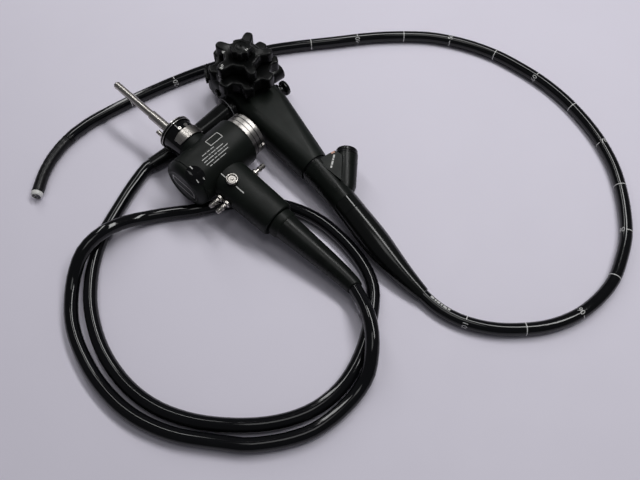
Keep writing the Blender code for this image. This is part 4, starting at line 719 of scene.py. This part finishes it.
def wrapped_text(bm, words, size, point, direction, radius, turn):
    """Flat digits laid round a tube, turned from its top by some degrees, feet towards its start."""
    font = bpy.data.curves.new("digits", "FONT")
    font.body = words
    font.size = size
    font.align_x = "CENTER"
    font.align_y = "CENTER"
    holder = bpy.data.objects.new("digits", font)
    bpy.context.scene.collection.objects.link(holder)
    bpy.context.view_layer.update()
    flat = bpy.data.meshes.new_from_object(holder)
    side = direction.cross(Z_AXIS).normalized()
    up = side.cross(direction)
    for vertex in flat.vertices:
        angle = vertex.co.x / radius + math.radians(turn)
        vertex.co = (point + direction * vertex.co.y + side * radius * math.sin(angle)
                     + up * radius * math.cos(angle))
    bm.from_mesh(flat)
    bpy.data.objects.remove(holder, do_unlink=True)
    bpy.data.curves.remove(font)
    bpy.data.meshes.remove(flat)


class GASTROSCOPE_OT_knobs(bpy.types.Operator):
    """Round off the two angulation knobs and the brake knob"""
    bl_idname = "gastroscope.knobs"
    bl_label = "Knobs"

    def execute(self, context):
        s = context.scene.gastroscope_knobs
        black = moulded("knob_black", (0.0042, 0.0045, 0.0045), 0.30)
        outline = lobed(s.ud_radius, s.ud_scallop, s.ud_petals, s.ud_phase, s.ud_narrow, 320, s.steep)
        knob("ud_knob", outline, s.edge, 0.0, black)
        outline = lobed(s.rl_radius, s.rl_scallop, s.rl_petals, s.rl_phase, s.rl_narrow, 320, s.steep)
        knob("rl_knob", outline, s.edge, s.rl_crown, black)
        outline = lobed(s.lock_radius, s.lock_scallop, 8, 0.0, 0.0, 160, 1.6)
        knob("rl_lock_knob", outline, 0.6 * s.edge, 0.0, black)
        return {"FINISHED"}


class GASTROSCOPE_OT_tubes(bpy.types.Operator):
    """Lay the insertion tube and the universal cord on the table"""
    bl_idname = "gastroscope.tubes"
    bl_label = "Tubes"

    def execute(self, context):
        s = context.scene.gastroscope_tubes
        black = jacket("tube_jacket", tuple(s.jacket))
        arriving = heading_vector(BENDING_HEADING)
        points = tube_points(INSERTION_START, INSERTION_LEAVING, INSERTION_ROUTE,
                             Vector(BENDING_START) - arriving * s.end_gap, arriving, s)
        tube = tube_curve("insertion_jacket", points, s.insertion_diameter, black)
        stand_in(tube, "insertion_tube")
        self.depth_marks(points, s)
        chain = ["bending_base_skin", "distal_tip_skin", "objective_lens_skin", "depth_marks",
                 "tip_plate", "tip_guides"]
        chain += [f"ring_{i}" for i in range(1, 10)] + [f"bending_cover_{i}" for i in range(1, 10)]

        arriving = (Vector(CORD_END) - Vector(CORD_ROUTE[-1])).normalized()
        points = tube_points(CORD_START, CORD_LEAVING, CORD_ROUTE, CORD_END, arriving, s)
        cord = tube_curve("cord_jacket", points, s.cord_diameter, black)
        stand_in(cord, "universal_cord")
        self.connector_boot(arriving, s)
        return {"FINISHED"}

    def connector_boot(self, arriving, s):
        """The tapering rubber boot from the connector's nut to the cord."""
        place = connector_matrix()
        start = place @ Vector((s.boot_start, 0, 0))
        end = Vector(CORD_END)
        reach = (end - start).length
        last = 32
        rounding = 0.0006
        path = interpolate_bezier(start, start + place.to_3x3() @ X_AXIS * reach * s.boot_straight,
                                  end + arriving * reach * s.boot_turn, end, last + 1)
        loops = []
        for i, point in enumerate(path):
            direction = (path[min(i + 1, last)] - path[max(i - 1, 0)]).normalized()
            radius = s.boot_radius + (s.boot_end_radius - s.boot_radius) * (i / last) ** 0.85
            if i in (0, last):
                loops.append(circle(point, direction, radius - 0.0007, 48))
                point = point + direction * (rounding if i == 0 else -rounding)
            loops.append(circle(point, direction, radius, 48))
        loops[-2], loops[-1] = loops[-1], loops[-2]
        bm = bmesh.new()
        loft(bm, loops)
        rubbery = rubber("boot_rubber", (0.0050, 0.0062, 0.0054), 0.3)
        stand_in(put("connector_boot_skin", bm, rubbery, CREASE), "connector_boot")

    def depth_marks(self, points, s):
        """White rings every 5 cm from the tip with a number every 10 cm, and the generic print."""
        bm = bmesh.new()
        lift = 0.00004
        radius = s.insertion_diameter / 2 + lift
        total = length_of(points)
        depth = s.first_mark
        while depth - s.bending_length < total - 0.02:
            place, direction = along(points, total + s.bending_length - depth)
            centimetres = round(depth * 100)
            if centimetres % 10 == 0:
                turn = NUMBER_TURNS.get(centimetres, 0.0)
                words = str(centimetres)
                wrapped_text(bm, words, s.digit_size, place, direction, radius + lift, turn)
                gap = math.degrees(s.digit_size * 0.62 * len(words) / radius) + 12.0
                band(bm, place, direction, radius, s.mark_length, turn + 180.0, 360.0 - gap)
            else:
                band(bm, place, direction, radius, s.mark_length)
            depth += 0.05
        begin = s.print_start
        for size in TUBE_PRINT:
            place, direction = along(points, begin)
            band(bm, place + direction * size / 2, direction, radius + lift, size, -24.0, 24.0)
            begin += size + s.print_gap
        detail("depth_marks", bm, plain("mark_white", tuple(s.mark)))


def tip_face():
    """The middle of the tip's face and the way it looks."""
    mount = next(m for m in frame["record"]["mounts"] if m["name"] == "tip_face")
    axis = Vector(mount["axis"]).normalized()
    last = Vector(PIVOTS[-1])
    return last + axis * (Vector(mount["pos_m"]) - last).dot(axis), axis


class GASTROSCOPE_OT_bending(bpy.types.Operator):
    """Draw the rubber sleeve over the rings, one length for each joint"""
    bl_idname = "gastroscope.bending"
    bl_label = "Bending cover"

    def execute(self, context):
        s = context.scene.gastroscope_tubes
        black = rubber("sleeve_rubber", (0.0075, 0.0075, 0.0085), 0.34)
        base_share = 0.62
        tip_share = 0.78
        pivots = [Vector(p) for p in PIVOTS]
        reach = (pivots[1] - pivots[0]).length * base_share
        first = pivots[0] - heading_vector(BENDING_HEADING) * reach
        face, axis = tip_face()
        blend_end = pivots[-1] + (pivots[-1] - pivots[-2]) * tip_share
        last = blend_end + axis * s.tip_overlap
        middles = [first] + [a.lerp(b, 0.5) for a, b in zip(pivots, pivots[1:])] + [last]
        steps = 8
        wave = 0.00012
        wall = 0.0003
        for i, pivot in enumerate(pivots):
            low, high = middles[i], middles[i + 1]
            at_tip = i == len(pivots) - 1
            loops = []
            back = []
            for j in range(steps + 1):
                t = j / steps
                place = (1 - t) ** 2 * low + 2 * t * (1 - t) * pivot + t ** 2 * high
                direction = (2 * (1 - t) * (pivot - low) + 2 * t * (high - pivot)).normalized()
                radius = s.sleeve_radius + wave * (t if at_tip else -math.sin(math.pi * t) ** 2)
                loops.append(circle(place, direction, radius, 32))
                back.insert(0, circle(place, direction, radius - wall, 32))
            bm = bmesh.new()
            loft(bm, loops + back, ring=True)
            sleeve = put(f"bending_cover_{i + 1}", bm, black, 60.0)
            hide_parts("bending_cover")
            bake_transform(sleeve)

        across = Z_AXIS.cross(axis)
        bm = bmesh.new()
        edges = []
        for aside, radius, sides in ((0.0, s.plate_radius, 48), *((*w, 24) for w in TIP_WINDOWS)):
            centre = face + across * aside + axis * 0.00005
            verts = [bm.verts.new(p) for p in circle(centre, axis, radius, sides)]
            edges += [bm.edges.new((a, b)) for a, b in zip(verts, verts[1:] + verts[:1])]
        bmesh.ops.triangle_fill(bm, use_beauty=True, edges=edges, normal=axis)
        detail("tip_plate", bm, plain("tip_dark", (0.012, 0.012, 0.013), 0.3), "ring_9")

        bm = bmesh.new()
        for up in (0.0024, -0.0024):
            turned(bm, face + Z_AXIS * up + axis * 0.00004, axis,
                   [(0.0007, 0.0), (0.0007, 0.0001), (0.0001, 0.00022)], 20)
        detail("tip_guides", bm, plain("guide_pale", (0.55, 0.55, 0.52), 0.2), "ring_9")
        return {"FINISHED"}


class GASTROSCOPE_OT_finishes(bpy.types.Operator):
    """Give every carried-over CAD node its finish"""
    bl_idname = "gastroscope.finishes"
    bl_label = "Finishes"

    def execute(self, context):
        black = moulded("moulding_black", (0.0036, 0.0038, 0.0040), 0.26)
        of_slot = {
            "shell": moulded("shell_green_black", (0.0060, 0.0079, 0.0064), 0.42),
            "moulding": black,
            "rubber": rubber("rubber_black", (0.0040, 0.0042, 0.0045), 0.27),
            "steel": metal("steel_fine", (0.50, 0.475, 0.445), 0.3),
            "brass": metal("brass_machined", (0.62, 0.46, 0.22), 0.3),
            "tip": plain("tip_white", (0.78, 0.78, 0.76)),
            "glass": optic("lens_dark", (0.02, 0.025, 0.04)),
        }
        of_node = {
            "boot_nut": jacket("polished_black", (0.0050, 0.0058, 0.0054)),
            "socket_ring": metal("steel_shaded", (0.33, 0.315, 0.30), 0.34),
            "channel_branch": moulded("branch_green_black", (0.0056, 0.0072, 0.0060), 0.29),
            **dict.fromkeys(SOFT_BOOTS, jacket("boot_satin", (0.0042, 0.0048, 0.0046), 0.17)),
            **dict.fromkeys(DARK_METAL, black),
        }
        for entry in frame["record"]["subparts"]:
            node = entry["node"]
            if node in MADE_ELSEWHERE:
                continue
            material = of_node.get(node, of_slot[entry["material_slot"]])
            if node.startswith("ring_"):
                paint_node(node, material)
            else:
                dressed(node, material, node in SOFT_BOOTS)
        return {"FINISHED"}


class GASTROSCOPE_OT_connector(bpy.types.Operator):
    """Add the connector's black band, rims, screws, glossy field, index lines, generic print, painted
    highlights on the glossy field and painted shade in the socket ring's grooves
    """
    bl_idname = "gastroscope.connector"
    bl_label = "Connector details"

    def execute(self, context):
        s = context.scene.gastroscope_connector
        place = connector_matrix()
        turn = place.to_3x3()
        u_axis, v_axis, w_axis = turn.col[0], turn.col[1], turn.col[2]
        # White for the generic print and for the painted highlights on the glossy field
        white = plain("print_and_highlight_white", tuple(s.print_colour), 0.45)
        gloss = jacket("gloss_black", (0.0030, 0.0032, 0.0036))
        steel = metal("steel_rims", (0.62, 0.60, 0.57))
        # Dark paint for the painted shade in the socket ring's grooves
        dark = plain("painted_groove_shade", (0.012, 0.012, 0.013))

        def at(u, v=0.0, w=0.0):
            return place @ Vector((u, v, w))

        bm = bmesh.new()
        hoop(bm, at(-s.neck_length - 0.0001), u_axis, s.neck_radius, s.band_width, 0.00014, 0.0002)
        detail("plug_band", bm, gloss)

        bm = bmesh.new()
        for start, width in ((s.neck_length + 0.0006, 0.0006), (s.neck_length + 0.0030, 0.0008)):
            hoop(bm, at(-start), -u_axis, s.flange_radius, width, 0.00012, 0.0004)
        detail("plug_rims", bm, steel)

        bm = bmesh.new()
        for degrees in (92.0, 66.0):
            out = between(v_axis, w_axis, degrees)
            turned(bm, at(-s.screw_place) + out * (s.neck_radius - 0.0001), out,
                   [(0.0019, 0.0), (0.0019, 0.0009), (0.0016, 0.0012), (0.0008, 0.0012),
                    (0.0007, 0.0007)], 20)
        detail("plug_screws", bm, steel)

        bm = bmesh.new()
        grip = skin_tree("connector_grip", "connector_housing")
        for low, high in ((0.0200, 0.0260), (0.0385, 0.0480)):
            stripe(bm, grip, at(low, -0.0068, 0.02), at(high, -0.0068, 0.02), s.index_width, -w_axis)
        barrel = skin_tree("connector_housing")
        for degrees, low, high, spans in BARREL_PRINT:
            out = between(u_axis, w_axis, degrees)
            spot = at(0.0) + out * s.barrel_radius
            dashes(bm, barrel, spot + v_axis * low, spot + v_axis * high, s.print_width, -out, spans)
        out = between(u_axis, w_axis, 103.0)
        for v in (0.0030, 0.0170):
            start, end = [at(0.0, v) + between(u_axis, w_axis, degrees) * s.barrel_radius + out * 0.001
                          for degrees in (94.0, 112.0)]
            stripe(bm, barrel, start, end, s.print_width, -out)
        cap = skin_tree("connector_end_cap")
        corners = [at(u, -0.045, w) for u, w in CAP_FRAME]
        for start, end in zip(corners, corners[1:] + corners[:1]):
            stripe(bm, cap, start, end, s.index_width, v_axis, steps=3)
        # White bars on the black glossy field by the end cap are painted highlights, in the print's white
        lobes = skin_tree("connector_housing", "connector_end_cap")
        for degrees, v, size in ((84.0, -0.0245, 0.0034), (54.0, -0.0285, 0.0034), (50.0, -0.0225, 0.0022)):
            out = between(u_axis, w_axis, degrees)
            spot = at(0.0, v) + out * s.barrel_radius
            side = v_axis.cross(out) * size / 2
            stripe(bm, lobes, spot - side, spot + side, s.index_width, -out, 0.0004, steps=2)
        detail("connector_print_and_highlights", bm, white)

        bm = bmesh.new()
        out = between(u_axis, w_axis, 66.0)
        across = v_axis.cross(out)
        middle = at(0.0, -s.gloss_place) + out * s.barrel_radius
        rows = [[middle + v_axis * 0.0076 * share * math.cos(math.pi * i / 18)
                 + across * 0.0095 * share * math.sin(math.pi * i / 18) for i in range(37)]
                for share in (0.02, 0.4, 0.75, 1.0)]
        lay(bm, lobes, rows, -out, 0.0002)
        detail("barrel_gloss", bm, gloss)

        # Dark hoops round the socket ring: painted shade in its grooves
        bm = bmesh.new()
        for v, width in ((0.0395, 0.0006), (0.0440, 0.0009)):
            hoop(bm, at(0.0, v), v_axis, s.socket_radius, width, 0.0001, 0.0005, 72)
        detail("socket_groove_shade", bm, dark)
        return {"FINISHED"}


class GASTROSCOPE_OT_control(bpy.types.Operator):
    """Add the web beside the channel port, a painted highlight round the collar's rim, the generic print of
    the control section and a painted glint on the brake knob
    """
    bl_idname = "gastroscope.control"
    bl_label = "Control section details"

    def execute(self, context):
        s = context.scene.gastroscope_control
        # White for the generic print, the knob marks and the painted glint on the brake knob
        white = plain("mark_and_glint_paint", tuple(s.print_colour), 0.45)
        shell = moulded("web_green_black", (0.0058, 0.0075, 0.0062), 0.36)

        bm = bmesh.new()
        middle = Vector((0.1290, 0.0010, 0.0))
        loops = []
        for level, shrink in ((-1.0, 0.10), (-0.84, 0.0), (0.84, 0.0), (1.0, 0.10)):
            height = Z_AXIS * (s.web_height + level * s.web_thickness / 2)
            loops.append([Vector((x, y, 0.0)).lerp(middle, shrink if y > 0.0 else 0.0) + height
                          for x, y in WEB_CORNERS])
        loft(bm, loops)
        web = BVHTree.FromBMesh(bm)
        detail("port_web", bm, shell, smooth=CREASE)

        # A pale grey hoop on the dark cord collar: a painted highlight along its rim
        low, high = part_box("cord_collar")
        middle = (low + high) / 2
        bm = bmesh.new()
        hoop(bm, Vector((middle.x, low.y + 0.0016, middle.z)), -Y_AXIS, (high.z - low.z) / 2, 0.0006,
             0.00012, 0.0006)
        detail("collar_painted_highlight", bm, plain("collar_painted_highlight", (0.20, 0.20, 0.21), 0.5))

        above = 0.045
        bm = bmesh.new()
        dashes(bm, web, Vector((0.1253, 0.0072, above)), Vector((0.1345, -0.0045, above)), 0.0016,
               -Z_AXIS, (4, 1, 2, 1, 5, 1, 3))
        detail("branch_print", bm, white)
        bm = bmesh.new()
        stripe(bm, web, Vector((0.1222, 0.0062, above)), Vector((0.1228, 0.0098, above)), 0.0018,
               -Z_AXIS)
        detail("port_index", bm, plain("index_peach", (0.62, 0.33, 0.24), 0.5))

        # White marks on the knobs; on the brake knob the mark is a painted glint
        for node, ticks in KNOB_PRINT_AND_GLINT.items():
            bm = bmesh.new()
            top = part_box(node)[1].z + 0.0001
            for x, y, size in ticks:
                self.tick(bm, Vector((x, y, top)), size)
            detail(f"{node}_print", bm, white, node)
        return {"FINISHED"}

    def tick(self, bm, place, size):
        """A short bar and a dot, flat on a knob."""
        out = Vector((place.x, place.y, 0.0)).normalized()
        side = Z_AXIS.cross(out)
        width = 0.00045
        for offset, half in ((0.0, 0.5 * size), (0.0016, 0.35 * size)):
            middle = place + side * offset
            bm.faces.new([bm.verts.new(middle + out * a + side * b)
                          for a, b in ((-half, -width), (half, -width), (half, width), (-half, width))])


class GASTROSCOPE_OT_stage(bpy.types.Operator):
    """Set the table top, the lights and the camera"""
    bl_idname = "gastroscope.stage"
    bl_label = "Stage"

    def execute(self, context):
        s = context.scene.gastroscope_stage
        bm = bmesh.new()
        bmesh.ops.create_grid(bm, x_segments=1, y_segments=1, size=6.0)
        put("table_top", bm, table("table_top", tuple(s.floor)))
        self.light("key_light", (0.10, 0.62, 1.25), 0.10, s.key, 1.3, 0.2)
        self.light("fill_light", (0.3, -0.1, 2.2), 0.15, s.fill, 0.7, 0.7)
        self.light("strip_light", (-0.85, 0.15, 1.0), 0.10, s.strip, 0.10, 1.1)
        world = bpy.data.worlds.new("studio")
        world.use_nodes = True
        background = world.node_tree.nodes["Background"]
        background.inputs["Color"].default_value = (0.93, 0.94, 1.0, 1.0)
        background.inputs["Strength"].default_value = s.world
        context.scene.world = world
        context.scene.view_settings.view_transform = "Standard"
        camera = bpy.data.cameras.new("camera")
        camera.lens = s.lens
        camera.sensor_width = 36.0
        camera.clip_start = 0.01
        eye = bpy.data.objects.new("camera", camera)
        eye.location = s.eye
        eye.rotation_euler = Vector(s.aim).to_track_quat("-Z", "Y").to_euler()
        context.scene.collection.objects.link(eye)
        context.scene.camera = eye
        return {"FINISHED"}

    def light(self, name, place, target_x, power, wide, deep):
        """A rectangular lamp that looks at a point of the table on the X axis."""
        lamp = bpy.data.lights.new(name, "AREA")
        lamp.energy = power
        lamp.shape = "RECTANGLE"
        lamp.size = wide
        lamp.size_y = deep
        made = bpy.data.objects.new(name, lamp)
        made.location = place
        look = X_AXIS * target_x - Vector(place)
        made.rotation_euler = look.to_track_quat("-Z", "Y").to_euler()
        bpy.context.scene.collection.objects.link(made)


class GASTROSCOPE_PT_panel(bpy.types.Panel):
    """Sidebar panel with the sizes, the colours and a button for each piece"""
    bl_idname = "GASTROSCOPE_PT_panel"
    bl_label = "Gastroscope"
    bl_space_type = "VIEW_3D"
    bl_region_type = "UI"
    bl_category = "Gastroscope"

    def draw(self, context):
        for group, operators in STEPS:
            box = self.layout.box()
            if group:
                settings = getattr(context.scene, f"gastroscope_{group}")
                for name in settings.__class__.__annotations__:
                    box.prop(settings, name)
            for operator in operators:
                box.operator(operator)


STEPS = (
    ("", ("gastroscope.finishes",)),
    ("knobs", ("gastroscope.knobs",)),
    ("control", ("gastroscope.control",)),
    ("connector", ("gastroscope.connector",)),
    ("tubes", ("gastroscope.bending", "gastroscope.tubes")),
    ("stage", ("gastroscope.stage",)),
)
GROUPS = {"knobs": KnobSettings, "control": ControlSettings,
          "connector": ConnectorSettings, "tubes": TubeSettings, "stage": StageSettings}
CLASSES = (*GROUPS.values(), GASTROSCOPE_OT_finishes, GASTROSCOPE_OT_knobs, GASTROSCOPE_OT_control,
           GASTROSCOPE_OT_connector, GASTROSCOPE_OT_bending, GASTROSCOPE_OT_tubes,
           GASTROSCOPE_OT_stage, GASTROSCOPE_PT_panel)


def register():
    for cls in CLASSES:
        bpy.utils.register_class(cls)
    for name, cls in GROUPS.items():
        setattr(bpy.types.Scene, f"gastroscope_{name}", PointerProperty(type=cls))


def unregister():
    for name in GROUPS:
        delattr(bpy.types.Scene, f"gastroscope_{name}")
    for cls in reversed(CLASSES):
        bpy.utils.unregister_class(cls)


def main():
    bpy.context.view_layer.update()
    register()
    for _, operators in STEPS:
        for name in operators:
            group, call = name.split(".")
            getattr(getattr(bpy.ops, group), call)()


if __name__ == "__main__":
    main()
